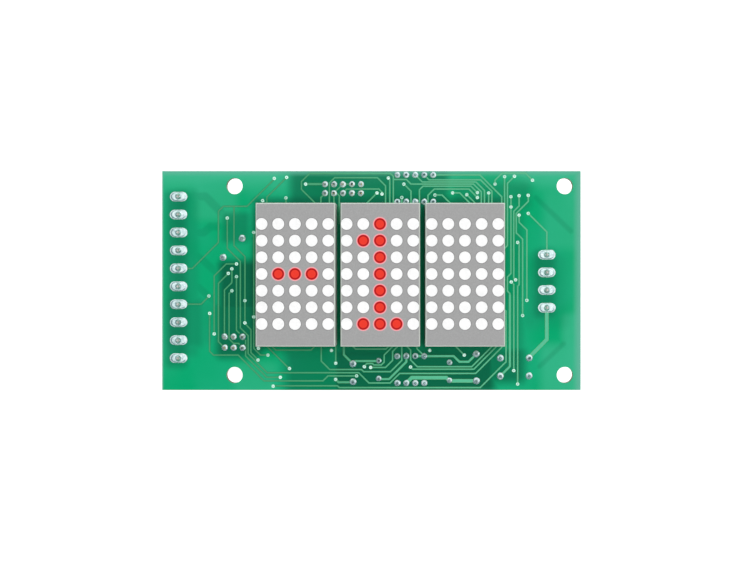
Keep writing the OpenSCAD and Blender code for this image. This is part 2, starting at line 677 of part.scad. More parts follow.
module at_matrix(m) at([matrix_x(m), matrix_row.y]) children();

// Side view of the housing, with its bevelled face edge
module housing_profile(w)
    polygon([[-w / 2, matrix_low], [w / 2, matrix_low], [w / 2, matrix_face - face_bevel],
        [w / 2 - face_bevel, matrix_face], [-w / 2 + face_bevel, matrix_face],
        [-w / 2, matrix_face - face_bevel]]);

module matrix_housing(m) color(FACE_GREY)
    at_matrix(m)
        difference() {
            union() {
                intersection() {
                    translate([0, matrix_h / 2, 0]) rotate([90, 0, 0])
                        linear_extrude(matrix_h) housing_profile(matrix_w);
                    translate([-matrix_w / 2, 0, 0]) rotate([90, 0, 90])
                        linear_extrude(matrix_w) housing_profile(matrix_h);
                }
                for (x = [-1, 1], y = [-1, 1])
                    translate([x * (matrix_w - matrix_wall) / 2, y * matrix_h / 3, 0])
                        box([matrix_wall, matrix_foot_l, matrix_foot + EPS], front);
            }
            box(concat(matrix_inside, carrier_top - matrix_low + EPS), matrix_low - EPS);
            for (c = [0:matrix_cols - 1], r = [0:matrix_rows - 1])
                translate(concat(dot_place(c, r), 0))
                    lead(dot_d, carrier_top - EPS, matrix_face + EPS);
        }

// Clear resin that fills one reflector cell over its die
module dot()
    difference() {
        lead(dot_d, carrier_top, matrix_face - dot_recess);
        box([die_w + 2 * die_gap, die_w + 2 * die_gap, die_h + die_gap + EPS], carrier_top - EPS);
    }

module matrix_dots(m, lit)
    at_matrix(m)
        for (c = [0:matrix_cols - 1], r = [0:matrix_rows - 1])
            if (is_lit(m, c, r) == lit)
                translate(concat(dot_place(c, r), 0)) dot();

// Board inside each matrix, which carries its dies
module matrix_carriers() color("darkgreen")
    difference() {
        for (m = [1:3])
            at_matrix(m)
                box(concat(matrix_inside - 2 * [carrier_gap, carrier_gap], carrier_t), carrier_low);
        for (p = all_matrix_leads)
            at(p) lead(matrix_pin_d, carrier_low - EPS, matrix_pin_top);
    }

// Resin that closes the rear of each matrix
module matrix_potting() color("lightgoldenrodyellow")
    difference() {
        for (m = [1:3])
            at_matrix(m)
                box(concat(matrix_inside, potting_t), carrier_low - potting_t);
        for (p = all_matrix_leads)
            at(p) lead(matrix_pin_d, front, carrier_low + EPS);
    }

module matrix_pins(m) color(SILVER)
    for (p = matrix_leads(m))
        at(p) lead(matrix_pin_d, -stub, matrix_pin_top);

module led_dies() color("gold")
    for (m = [1:3], c = [0:matrix_cols - 1], r = [0:matrix_rows - 1])
        at_matrix(m)
            translate(concat(dot_place(c, r), 0)) box([die_w, die_w, die_h], carrier_top);

// ---- connectors and headers ----

// Shroud with its pins on the Y axis and the wide side of the plug space towards +X
module connector(ways, pitch) {
    inside = ways * pitch;
    wide = plug_narrow + plug_wide;
    difference() {
        union() {
            translate([(plug_wide - plug_narrow) / 2, 0, 0])
                box([wide + 2 * shroud_wall, inside + 2 * shroud_wall, connector_h - lift], -connector_h);
            for (p = column(0, 0, ways, pitch))
                translate([-plug_narrow - shroud_wall, p.y, 0])
                    box([2 * rib_size.x, rib_size.y, connector_h - 2 * rib_inset], -connector_h + rib_inset);
        }
        translate([(plug_wide - plug_narrow) / 2, 0, 0])
            box([wide, inside, connector_h - shroud_floor + EPS], -connector_h - EPS);
        for (p = column(0, 0, ways, pitch)) {
            translate(p) lead(contact_section, -connector_h, 0);
            translate([plug_wide + shroud_wall / 2, p.y, 0])
                box([shroud_wall + 2 * EPS, latch_slot.x, latch_slot.y + EPS], -connector_h - EPS);
        }
    }
}

module contacts(places)
    for (p = places)
        at(p) {
            lead(contact_section, -contact_tip, contact_shoulder);
            translate([0, 0, contact_shoulder])
                linear_extrude(contact_point_h, scale = contact_point) square(contact_w, center = true);
        }

module signal_connector() color("seagreen")
    at([signal_x, signal_y]) connector(signal_ways, signal_pitch);

module signal_pins() color(SILVER) contacts(signal_leads);

module power_connector() color("seagreen")
    at([power_x, power_y]) mirror([1, 0, 0]) connector(power_ways, power_pitch);

module power_pins() color(SILVER) contacts(power_leads);

// Header strip: one block with cut corners for each pin
module header_base(places)
    difference() {
        for (p = places)
            at(p) translate([0, 0, -lift - header_h]) linear_extrude(header_h)
                for (c = [[1, header_cut], [header_cut, 1]])
                    square(c * pin_pitch, center = true);
        for (p = places)
            at(p) lead(header_section, -header_pin_h, 0);
    }

module header_pins(places)
    for (p = places)
        at(p) lead(header_section, -header_pin_h, board_t + stub);

module ribbon_header() color(BLACK)
    header_base(ribbon_leads);

module ribbon_pins() color("gold") header_pins(ribbon_leads);

module jumper_headers() color(BLACK)
    header_base(jumper_leads);

module jumper_pins() color("gold") header_pins(jumper_leads);

// Push-on link: a cap with a channel for its clip
module jumper_caps() color("royalblue")
    for (p = cap_at)
        at(p)
            difference() {
                box([2 * pin_pitch - 0.2, jumper_w, clip_end + cap_wall - cap_low], -clip_end - cap_wall);
                box([clip_size.x + 0.1, clip_size.y + 0.1, clip_end], -clip_end);
            }

// Spring strip folded over two pins
module jumper_clips() color(SILVER)
    for (p = cap_at)
        at(p)
            difference() {
                box(concat(clip_size, clip_h), -clip_end);
                box([clip_size.x + 1, header_pin_w, clip_end], -header_pin_h);
            }

// ---- address switch ----

module switch_cover() color("royalblue")
    at(switch_at)
        difference() {
            box(concat(switch_size, switch_h - lift - switch_base_h), -switch_h);
            for (k = [1:switch_ways])
                translate([switch_x(k), 0, 0]) {
                    box([foot_size.x + 2 * slider_gap, foot_size.y + slider_travel + 2 * slider_gap,
                        cavity_floor - cavity_roof + EPS], cavity_roof);
                    box([knob_size.x + 2 * slider_gap, knob_size.y + slider_travel + 2 * slider_gap,
                        switch_skin + 2 * EPS], -switch_h - EPS);
                }
        }

module switch_base() color(BLACK)
    difference() {
        at(switch_at) box(concat(switch_size, switch_base_h), -lift - switch_base_h);
        for (p = switch_leads)
            at(p) lead(chip_lead, -lift - switch_base_h / 2, 0);
    }

module switch_pins() color(SILVER)
    for (p = switch_leads)
        at(p) lead(chip_lead, -lift - switch_base_h / 2, board_t + stub);

// Slider k at the end of its travel nearest the lower row of pins
module switch_slider(k) color("white")
    if (k <= switch_ways)
        at(switch_at) translate([switch_x(k), -slider_travel / 2, 0]) {
            box(concat(foot_size, cavity_floor - cavity_roof - 2 * slider_gap), cavity_roof + slider_gap);
            box(concat(knob_size, switch_skin + knob_rise + slider_gap + EPS), -switch_h - knob_rise);
        }

// ---- supply parts ----

module regulator() color(BLACK)
    at(regulator_at)
        difference() {
            moulding(regulator_size, -chip_stand - regulator_size.z, draft);
            translate([-regulator_size.x / 2, 0, -chip_stand - regulator_size.z - EPS])
                cylinder(d = notch_size.x, h = notch_size.y);
        }

module regulator_leads() color(SILVER)
    for (p = regulator_leads_at)
        at(p) {
            side = p.y > regulator_at.y ? 1 : -1;
            inner = row_pitch / 2 - regulator_size.y / 2 + shoulder.y / 2;
            mid = -chip_stand - regulator_size.z / 2;
            lead(chip_lead, mid, board_t + stub);
            lead(shoulder, mid, -chip_stand - 0.4);
            translate([0, side * (shoulder.y - inner) / 2, 0])
                box([shoulder.x, inner, shoulder.y], mid - shoulder.y / 2);
        }

// Half outline of a can, from its top down over the crimp that holds its bung
module can_outline(r, top)
    polygon([[0, top], [r - 0.6, top], [r - 0.2, top + 0.2], [r, top + 0.6], [r, -2.6], [r - 0.4, -2.2],
        [r, -1.8], [r, -0.4], [r - 0.2, -lift], [0, -lift]]);

// The can fills the sleeve's outline, less the sleeve's thickness
module can_inside() can_outline(can_d / 2 - sleeve_t, -can_h + sleeve_t);

module bung_outline()
    translate([0, -bung_top]) square([can_d / 2 - bung_wall, bung_top]);

// Can with a cross scored in its top as a vent
module capacitor_cans() color(SILVER)
    for (p = capacitor_at)
        at(p)
            difference() {
                rotate_extrude()
                    difference() {
                        can_inside();
                        bung_outline();
                    }
                for (a = [0, 90])
                    rotate([0, 0, a]) box(vent_size + [0, 0, EPS], -can_h + sleeve_t - EPS);
            }

// Shrink sleeve over the side and the rim of each can
module capacitor_sleeves() color("midnightblue")
    for (p = capacitor_at)
        at(p)
            rotate_extrude()
                difference() {
                    intersection() {
                        can_outline(can_d / 2, -can_h);
                        translate([can_d / 2 - rim_w, -can_h]) square([rim_w + 1, can_h - lift - 0.2]);
                    }
                    can_inside();
                }

module capacitor_bungs() color(BLACK)
    for (p = capacitor_at)
        at(p)
            translate([0, 0, -bung_top]) cylinder(r = can_d / 2 - bung_wall, h = bung_top - part_stand);

// Dipped block with round upright edges and a bevelled top
module film_capacitor() color("firebrick")
    at(film_at) {
        translate([0, 0, -part_stand - film_size.z + film_bevel])
            linear_extrude(film_size.z - film_bevel)
                rounded(film_size.x, film_size.y, film_round);
        translate([0, 0, -part_stand - film_size.z])
            linear_extrude(film_bevel)
                rounded(film_size.x - film_bevel, film_size.y - film_bevel, film_round - film_bevel / 2);
    }

// Flanged drum
module choke_core() color([0.2, 0.2, 0.22])
    at(choke_at) {
        for (z = [-choke_h, -part_stand - flange_t])
            translate([0, 0, z]) cylinder(d = choke_d, h = flange_t);
        translate([0, 0, -choke_h]) cylinder(r = bobbin_r, h = choke_h - part_stand);
    }

module choke_winding() color("peru")
    at(choke_at)
        translate([0, 0, -choke_h + flange_t])
            difference() {
                cylinder(d = choke_d - 1, h = choke_h - part_stand - 2 * flange_t);
                translate([0, 0, -EPS]) cylinder(r = bobbin_r, h = choke_h);
            }

module diode_bodies() color(BLACK)
    for (p = diode_at)
        at(p) translate([0, 0, diode_z]) rotate([0, 0, p[2]])
            rotate([0, 90, 0]) cylinder(d = diode_size.y, h = diode_size.x, center = true);

module diode_leads() color(SILVER)
    for (p = diode_at, s = [-1, 1])
        at(p) rotate([0, 0, p[2]]) {
            translate([s * row_pitch / 2, 0, 0]) lead(diode_lead_d, diode_z, board_t + stub);
            translate([s * row_pitch / 2, 0, diode_z]) sphere(d = diode_lead_d);
            translate([s * (row_pitch + diode_size.x) / 4, 0, diode_z]) rotate([0, 90, 0])
                cylinder(d = diode_lead_d, h = (row_pitch - diode_size.x) / 2, center = true);
        }

// Corner of the disc's half outline: its face's edge, or its rim
function fuse_corner(side, at_rim) = at_rim == 1
    ? [fuse_d / 2, side * (fuse_t / 2 - fuse_edge.y)]
    : [fuse_d / 2 - fuse_edge.x, side * fuse_t / 2];

module fuse_disc() color("goldenrod")
    difference() {
        at(fuse_at) translate([0, 0, -part_stand - fuse_d / 2]) rotate([0, 90, 0])
            rotate_extrude()
                polygon(concat([[0, -fuse_t / 2]],
                    [for (s = [-1, 1]) each [for (e = s < 0 ? [0, 1] : [1, 0]) fuse_corner(s, e)]],
                    [[0, fuse_t / 2]]));
        for (p = pair(fuse_at, radial_pitch))
            at(p) lead(radial_lead_d, -fuse_d / 2, 0);
    }

module radial_leads() color(SILVER) {
    for (p = concat(pair(capacitor_at[0], radial_pitch), pair(capacitor_at[1], radial_pitch), small_leads_at))
        at(p) lead(radial_lead_d, -part_stand, board_t + stub);
    for (p = pair(fuse_at, radial_pitch))
        at(p) lead(radial_lead_d, -fuse_d / 2, board_t + stub);
}

// ---- surface mounted parts ----

// Bent lead of a surface mounted chip, from the body at x = 0 out to the board at x = reach.
// The lead is given as its height at the body and its width.
module gull_lead(reach, lead)
    translate([0, lead.y / 2, 0]) rotate([90, 0, 0])
        linear_extrude(lead.y)
            polygon([[0, -lead.x], [reach * 0.4, -lead.x], [reach * 0.55, -smd_gap - lead_t],
                [reach, -smd_gap - lead_t], [reach, -smd_gap], [reach * 0.4, -smd_gap],
                [reach * 0.3, -lead.x + lead_t], [0, -lead.x + lead_t]]);

module chip_row(count, pitch, body_half, reach, lead)
    for (k = [0:count - 1])
        translate([body_half, (k - (count - 1) / 2) * pitch, 0])
            gull_lead(reach - body_half, lead);

module microcontroller() color(BLACK)
    at(processor_at)
        difference() {
            moulding([processor_w, processor_w, processor_h], -chip_low - processor_h, draft);
            translate(concat([-1, 1] * processor_w / 2 + index_inset, -chip_low - processor_h - EPS))
                cylinder(d = index_dot.x, h = index_dot.y);
        }

module driver_chips() color(BLACK)
    for (p = driver_at)
        at(p)
            difference() {
                moulding(driver_size, -chip_low - driver_size.z, draft);
                translate([-driver_size.x / 2 + index_inset.x, -driver_size.y / 2 - index_inset.y,
                    -chip_low - driver_size.z - EPS])
                    cylinder(d = index_dot.x, h = index_dot.y);
            }

module chip_leads() color(SILVER) {
    at(processor_at)
        for (a = [0:90:270])
            rotate([0, 0, a])
                chip_row(processor_row, processor_pitch, processor_w / 2, processor_reach, processor_lead);
    for (p = driver_at, a = [90, 270])
        at(p) rotate([0, 0, a])
            chip_row(driver_row, driver_pitch, driver_size.y / 2, driver_reach, driver_lead);
}

module transistors() color(BLACK)
    for (k = [0:6])
        at([transistor_x(k), transistor_y])
            moulding(transistor_size, -lift - transistor_size.z, draft);

// Two leads on the upper side of each transistor and one on its lower side
module transistor_leads() color(SILVER)
    for (k = [0:6], side = [[90, 2], [270, 1]])
        at([transistor_x(k), transistor_y])
            rotate([0, 0, side[0]])
                chip_row(side[1], transistor_pitch, transistor_size.y / 2, transistor_reach, transistor_lead);

// Can with a flange at the board and a slightly smaller top
module crystal_can() color(SILVER)
    at(crystal_at)
        for (step = CRYSTAL_STEPS)
            translate([0, 0, step[0]]) linear_extrude(step[1] - step[0])
                oval(crystal_size.x + step[2], crystal_size.y + step[2]);

module resistor_chips() color(BLACK)
    for (p = resistor_at)
        at(p)
            box(resistor_size - [0, 2 * resistor_end, 0], -smd_gap - resistor_size.z);

module resistor_ends() color(SILVER)
    for (p = resistor_at, s = [-1, 1])
        at(p) translate([0, s * (resistor_size.y - resistor_end) / 2, 0])
            box([resistor_size.x, resistor_end, resistor_size.z], -smd_gap - resistor_size.z);

// ---- nodes ----

circuit_board();
front_tracks();
rear_tracks();
vias();
signal_solder();
power_solder();
part_solder();
matrix_solder();
matrix_housing(1);  // matrix_1_housing
matrix_housing(2);  // matrix_2_housing
matrix_housing(3);  // matrix_3_housing
color("white") matrix_dots(1, false);  // matrix_1_dots
color("white") matrix_dots(2, false);  // matrix_2_dots
color("white") matrix_dots(3, false);  // matrix_3_dots
color("red") matrix_dots(1, true);  // matrix_1_lit_dots
color("red") matrix_dots(2, true);  // matrix_2_lit_dots
matrix_carriers();
matrix_potting();
matrix_pins(1);  // matrix_1_pins
matrix_pins(2);  // matrix_2_pins
matrix_pins(3);  // matrix_3_pins
led_dies();
signal_connector();
signal_pins();
power_connector();
power_pins();
ribbon_header();
ribbon_pins();
jumper_headers();
jumper_pins();
jumper_caps();
jumper_clips();
switch_cover();
switch_base();
switch_pins();
switch_slider(1);  // switch_slider_1
switch_slider(2);  // switch_slider_2
switch_slider(3);  // switch_slider_3
switch_slider(4);  // switch_slider_4
switch_slider(5);  // switch_slider_5
regulator();
regulator_leads();
capacitor_cans();
capacitor_sleeves();
capacitor_bungs();
film_capacitor();
choke_core();
choke_winding();
diode_bodies();
diode_leads();
fuse_disc();
radial_leads();
microcontroller();
driver_chips();
chip_leads();
transistors();
transistor_leads();
crystal_can();
resistor_chips();
resistor_ends();
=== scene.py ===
# %% [markdown]
# # A three-digit dot matrix display
# A green circuit board carries three dot matrices on its front. Behind it stand two plug
# connectors, a ribbon header, a small switch, the supply parts and the chips. The CAD model
# gives every solid its size and place. This lesson gives each one its finish, and makes in
# mesh code what solder, wire and paint do to those solids.

# %% Load the frame
import math

import bmesh
import bpy
from mathutils import Matrix, Vector


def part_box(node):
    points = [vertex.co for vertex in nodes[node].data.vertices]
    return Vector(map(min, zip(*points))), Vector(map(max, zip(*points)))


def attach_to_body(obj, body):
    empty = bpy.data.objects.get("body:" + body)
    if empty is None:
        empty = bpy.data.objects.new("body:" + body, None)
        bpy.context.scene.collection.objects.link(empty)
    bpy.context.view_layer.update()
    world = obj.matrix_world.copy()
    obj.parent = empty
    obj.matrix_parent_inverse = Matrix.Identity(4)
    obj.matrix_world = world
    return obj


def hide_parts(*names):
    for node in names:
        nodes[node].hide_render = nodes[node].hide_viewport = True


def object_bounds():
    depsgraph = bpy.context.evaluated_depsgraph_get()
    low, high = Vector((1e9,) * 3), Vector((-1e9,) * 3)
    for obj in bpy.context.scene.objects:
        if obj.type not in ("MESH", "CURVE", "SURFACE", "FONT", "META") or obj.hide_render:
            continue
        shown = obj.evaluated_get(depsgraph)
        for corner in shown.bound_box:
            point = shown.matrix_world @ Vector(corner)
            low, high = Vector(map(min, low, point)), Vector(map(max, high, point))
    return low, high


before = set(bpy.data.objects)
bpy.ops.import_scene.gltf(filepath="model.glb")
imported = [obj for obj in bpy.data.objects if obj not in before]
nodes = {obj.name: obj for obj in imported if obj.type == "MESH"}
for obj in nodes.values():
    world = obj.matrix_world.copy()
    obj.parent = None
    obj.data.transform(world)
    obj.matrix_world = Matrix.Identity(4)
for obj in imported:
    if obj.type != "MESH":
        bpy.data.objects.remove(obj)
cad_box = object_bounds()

MM = 0.001
BODY = "display"

# %% [markdown]
# ## Where things are
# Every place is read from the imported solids, so nothing has to be fitted. `span` gives a
# node's box in millimetres, and `islands` splits a node into its separate solids, which is
# how we later find each solder joint, lead and chip.

# %% Read places from the solids
def span(name):
    low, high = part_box(name)
    return Vector(low) / MM, Vector(high) / MM


def islands(name):
    """Middle and half size, in millimetres, of each separate solid, from left to right."""
    work = bmesh.new()
    work.from_mesh(nodes[name].data)
    bmesh.ops.remove_doubles(work, verts=work.verts, dist=1e-7)
    left = set(work.verts)
    boxes = []
    while left:
        stack = [left.pop()]
        low = stack[0].co.copy()
        high = low.copy()
        while stack:
            vert = stack.pop()
            for axis in range(3):
                low[axis] = min(low[axis], vert.co[axis])
                high[axis] = max(high[axis], vert.co[axis])
            for edge in vert.link_edges:
                other = edge.other_vert(vert)
                if other in left:
                    left.remove(other)
                    stack.append(other)
        boxes.append((low / MM, high / MM))
    work.free()
    boxes.sort(key=lambda box: (round(box[0].x, 2), round(box[0].y, 2)))
    return [((low + high) / 2, (high - low) / 2) for low, high in boxes]


board_low, board_high = span("circuit_board")
board_mid = (board_low + board_high) / 2
front_z = board_high.z
face_z = span("matrix_2_housing")[1].z
print("board %.1f x %.1f mm, front at %.2f, faces at %.2f" % (
    board_high.x - board_low.x, board_high.y - board_low.y, front_z, face_z))

# %% [markdown]
# ## Camera
# The display is seen from straight in front, from about a quarter of a metre. At that
# distance the matrices, which stand 8 mm proud, look 3 percent larger than the board under
# them. A small lens shift puts the board where it lies in the frame and keeps the view
# square on.

# %% Camera
def add(name, data):
    """New object that stands in the scene."""
    made = bpy.data.objects.new(name, data)
    bpy.context.scene.collection.objects.link(made)
    return made


CAMERA_HEIGHT = 250
CAMERA_X = 0.2
VIEW_ANGLE = 45.8
SHIFT = (-0.0367, -0.0127)

lens_data = bpy.data.cameras.new("camera")
camera = add("camera", lens_data)
bpy.context.scene.camera = camera
camera.location = Vector((CAMERA_X, board_mid.y, front_z + CAMERA_HEIGHT)) * MM
lens_data.sensor_width = 36
lens_data.lens = 18 / math.tan(math.radians(VIEW_ANGLE / 2))
lens_data.clip_start = 0.01
lens_data.shift_x, lens_data.shift_y = SHIFT
print("lens %.2f mm" % lens_data.lens)

# %% [markdown]
# ## Colours and node helpers
# Colours are written as they look on a screen, from 0 to 255, and turned into the linear
# values that Blender works in. The helpers below add one node each and link or set its
# sockets, so that a whole finish can be read as a few lines.

# %% Colours as they are written on screen
def paint(red, green, blue):
    def linear(value):
        value /= 255
        return value / 12.92 if value <= 0.04045 else ((value + 0.055) / 1.055) ** 2.4
    return (linear(red), linear(green), linear(blue), 1)


def grey(level):
    return paint(level, level, level)


print("a middle grey of 128 is %.3f in linear light" % grey(128)[0])


# %% Helpers for node trees
def put(tree, kind, sockets=None, **settings):
    """Adds a node, sets its attributes, and gives its sockets a value or a link."""
    made = tree.nodes.new(kind)
    for name, value in settings.items():
        setattr(made, name, value)
    for socket, source in (sockets or {}).items():
        if isinstance(source, bpy.types.NodeSocket):
            tree.links.new(source, made.inputs[socket])
        else:
            made.inputs[socket].default_value = source
    return made


def get(tree, kind, sockets=None, output=0, **settings):
    """One output of a new node."""
    return put(tree, kind, sockets, **settings).outputs[output]


print("put and get are ready")


# %% Short forms of the nodes that come up most
def calc(tree, operation, *values, clamp=False):
    """Result of a Math node."""
    sockets = dict(enumerate(values))
    return get(tree, "ShaderNodeMath", sockets, operation=operation, use_clamp=clamp)


def vector(tree, operation, *values, output=0):
    """Vector result of a Vector Math node."""
    sockets = dict(enumerate(values))
    return get(tree, "ShaderNodeVectorMath", sockets, output, operation=operation)


def measure(tree, operation, *values):
    """Number that a Vector Math node measures, such as a length."""
    return vector(tree, operation, *values, output="Value")


def scaled(tree, source, factor):
    """Vector times a number."""
    return get(tree, "ShaderNodeVectorMath", {0: source, 3: factor}, operation="SCALE")


def facing_up(tree):
    """How far a surface faces the front of the display: 1 straight at it, -1 away."""
    normal = get(tree, "ShaderNodeNewGeometry", output="Normal")
    return get(tree, "ShaderNodeSeparateXYZ", {0: normal}, 2)


def mix(tree, factor, first, second):
    """Colour mix of two colours by a factor."""
    return get(tree, "ShaderNodeMix", {0: factor, 6: first, 7: second}, 2, data_type="RGBA")


def ramp(tree, value, low, high, start=0.0, end=1.0):
    """Value mapped smoothly from one range to another, held at the ends."""
    sockets = {0: value, 1: low, 2: high, 3: start, 4: end}
    return get(tree, "ShaderNodeMapRange", sockets, interpolation_type="SMOOTHSTEP")


print("short forms are ready")


# %% [markdown]
# ## Light all round
# A board is lit evenly, so that the copper pattern reads and nothing glares. A pale sky does
# most of the work. Mirror rays see something else: a studio that is bright overhead and
# towards a window, and dim elsewhere, so that solder shows a light side and a dark side. A
# Light Path node tells the kinds of ray apart.

# %% World
SKY_STRENGTH = 0.56
STUDIO_WALL = paint(88, 116, 122)
WINDOW_FROM = (0.35, 0.4, 0.9)
WINDOW_EDGE = (0.25, 0.8)

world = bpy.data.worlds.new("studio")
bpy.context.scene.world = world
world.use_nodes = True
sky = world.node_tree
sky.nodes.clear()
rays = put(sky, "ShaderNodeLightPath").outputs
mirrored = calc(sky, "MAXIMUM", rays["Is Glossy Ray"], rays["Is Transmission Ray"])
direction = put(sky, "ShaderNodeTexCoord").outputs["Generated"]
side = measure(sky, "DOT_PRODUCT", direction, Vector(WINDOW_FROM).normalized())
studio = mix(sky, ramp(sky, side, *WINDOW_EDGE), STUDIO_WALL, grey(255))
seen = mix(sky, rays["Is Camera Ray"], studio, grey(255))
lit = get(sky, "ShaderNodeBackground", {0: grey(250), 1: SKY_STRENGTH})
shown = get(sky, "ShaderNodeBackground", {0: seen, 1: 1.0})
either = calc(sky, "MAXIMUM", mirrored, rays["Is Camera Ray"])
both = get(sky, "ShaderNodeMixShader", {0: either, 1: lit, 2: shown})
put(sky, "ShaderNodeOutputWorld", {0: both})

print("sky", SKY_STRENGTH)

# %% [markdown]
# ## One broad lamp
# A sun from above the top right gives the matrices a soft shadow. Its angle of 30 degrees
# blurs that shadow, as a large soft box would. It is hidden from mirror rays, which would
# show it as a hard disc in every joint.

# %% Sun
SUN_STRENGTH = 1.65
SUN_FROM = (0.2, 0.26, 1)
SUN_BLUR = 30

sun_data = bpy.data.lights.new("sun", "SUN")
sun_data.energy = SUN_STRENGTH
sun_data.angle = math.radians(SUN_BLUR)
sun = add("sun", sun_data)
sun.visible_glossy = False
sun.rotation_euler = Vector(SUN_FROM).to_track_quat("Z", "Y").to_euler()

print("sun", SUN_STRENGTH)

# %% [markdown]
# ## Floor
# The floor is plain and touches the rims of the two connectors, which the display lies on.
# Camera and mirror rays see it almost white, while its diffuse part still takes the shadow.

# %% Floor
FLOOR_RADIUS = 3
FLOOR_SEEN = 0.9

floor_mesh = bpy.data.meshes.new("floor")
build = bmesh.new()
bmesh.ops.create_circle(build, cap_ends=True, segments=96, radius=FLOOR_RADIUS)
bmesh.ops.translate(build, verts=build.verts, vec=(board_mid.x * MM, 0, cad_box[0][2]))
build.to_mesh(floor_mesh)
build.free()
floor = add("floor", floor_mesh)

floor_paint = bpy.data.materials.new("floor_paint")
floor_paint.use_nodes = True
tree = floor_paint.node_tree
tree.nodes.clear()
rays = put(tree, "ShaderNodeLightPath").outputs
visible = calc(tree, "MAXIMUM", rays["Is Camera Ray"],
               calc(tree, "MAXIMUM", rays["Is Glossy Ray"], rays["Is Transmission Ray"]))
plain = get(tree, "ShaderNodeBsdfDiffuse", {0: grey(200)})
strength = calc(tree, "MULTIPLY", visible, FLOOR_SEEN)
glow = get(tree, "ShaderNodeEmission", {0: grey(255), 1: strength})
both = get(tree, "ShaderNodeAddShader", {0: plain, 1: glow})
put(tree, "ShaderNodeOutputMaterial", {0: both})
floor_mesh.materials.append(floor_paint)

bpy.context.scene.view_settings.view_transform = "Standard"
print("floor at %.1f mm" % (cad_box[0][2] / MM))

# %% [markdown]
# ## Effects that many finishes share
# Five small shader groups do most of the work. *Millimetres* gives Object coordinates in
# millimetres, so patterns keep to the solid when the camera moves. *Mottle* drifts a colour
# between two shades. *Grain* is the fine texture of a moulding or a metal. *Worn edge* finds
# convex edges, where a moulding is rubbed pale. *Patch* is a soft box, for shades that lie in
# one place.

# %% Group helpers
def new_group(name, inputs, outputs):
    """Empty shader group with named inputs (name: value) and outputs (name: kind)."""
    tree = bpy.data.node_groups.new(name, "ShaderNodeTree")
    for label, value in inputs.items():
        kind = "Float"
        if not isinstance(value, (int, float)):
            kind = "Vector" if len(value) == 3 else "Color"
        socket = tree.interface.new_socket(label, in_out="INPUT", socket_type="NodeSocket" + kind)
        socket.default_value = value
    for label, kind in outputs.items():
        tree.interface.new_socket(label, in_out="OUTPUT", socket_type="NodeSocket" + kind)
    return tree, tree.nodes.new("NodeGroupInput").outputs, tree.nodes.new("NodeGroupOutput").inputs


def end_group(group, take, **results):
    """Links what a group puts out, and returns the group."""
    for label, source in results.items():
        group.links.new(source, take[label])
    print("group:", group.name)
    return group


def use(tree, group, **values):
    """Places a group in a tree and returns its outputs."""
    sockets = {label.replace("_", " "): value for label, value in values.items()}
    return put(tree, "ShaderNodeGroup", sockets, node_tree=group).outputs


print("helpers for shader groups are ready")

# %% Millimetres
group, give, take = new_group("millimetres", {}, {"Place": "Vector"})
where = put(group, "ShaderNodeTexCoord").outputs["Object"]
millimetres = end_group(group, take, Place=scaled(group, where, 1 / MM))


# %% Mottle
def soft_noise(tree, place, size, detail):
    """Noise whose lumps are about so many millimetres across."""
    sockets = {"Vector": place, "Scale": calc(tree, "DIVIDE", 1.0, size), "Detail": detail}
    return get(tree, "ShaderNodeTexNoise", sockets)


group, give, take = new_group(
    "mottle", {"First": grey(128), "Second": grey(140), "Size": 8.0, "Detail": 3.0},
    {"Colour": "Color", "Mask": "Float"})
noise = soft_noise(group, use(group, millimetres)["Place"], give["Size"], give["Detail"])
mask = ramp(group, noise, 0.35, 0.65)
shade = mix(group, mask, give["First"], give["Second"])
mottle = end_group(group, take, Mask=mask, Colour=shade)

# %% Grain
group, give, take = new_group(
    "grain", {"Size": 0.2, "Depth": 0.01, "Stretch": (1.0, 1.0, 1.0)},
    {"Normal": "Vector", "Mask": "Float"})
place = vector(group, "MULTIPLY", use(group, millimetres)["Place"], give["Stretch"])
noise = soft_noise(group, place, give["Size"], 2.0)
depth = calc(group, "MULTIPLY", give["Depth"], MM)
bump = get(group, "ShaderNodeBump", {"Height": noise, "Distance": depth, "Strength": 1.0})
grain = end_group(group, take, Normal=bump, Mask=ramp(group, noise, 0.3, 0.7))

# %% Worn edge
group, give, take = new_group("worn edge", {"Width": 0.15, "Amount": 0.6}, {"Mask": "Float"})
radius = calc(group, "MULTIPLY", give["Width"], MM)
rounded = get(group, "ShaderNodeBevel", {"Radius": radius}, samples=4)
flat = put(group, "ShaderNodeNewGeometry").outputs["Normal"]
edge = ramp(group, measure(group, "DOT_PRODUCT", rounded, flat), 0.99, 0.85)
place = use(group, millimetres)["Place"]
noise = get(group, "ShaderNodeTexNoise", {"Vector": place, "Scale": 1.3})
worn = calc(group, "MULTIPLY", edge, give["Amount"])
worn = calc(group, "MULTIPLY", worn, ramp(group, noise, 0.35, 0.6))
worn_edge = end_group(group, take, Mask=worn)

# %% Patch
group, give, take = new_group(
    "patch", {"Middle": (0.0, 0.0, 0.0), "Half": (1.0, 1.0, 1.0), "Soft": 1.0}, {"Mask": "Float"})
offset = vector(group, "SUBTRACT", use(group, millimetres)["Place"], give["Middle"])
away = vector(group, "SUBTRACT", vector(group, "ABSOLUTE", offset), give["Half"])
gap = measure(group, "LENGTH", vector(group, "MAXIMUM", away, (0.0, 0.0, 0.0)))
beyond = calc(group, "DIVIDE", gap, give["Soft"])
patch = end_group(group, take, Mask=ramp(group, beyond, 1.0, 0.0))

# %% [markdown]
# ## A finish in one call
# Most finishes are a Principled surface whose colour drifts a little, with a grain and
# rubbed edges. `finish` builds that from two shades and a few numbers. A special finish
# hands in a function that works out its colour instead. The plain numbers go straight onto
# the shader, and `dress` puts the material on the solids it belongs to.

# %% Finish
EDGE_WIDTH = 0.12
EDGE_AMOUNT = 0.5
ROUGHNESS_LOW, ROUGHNESS_HIGH = -0.05, 0.07


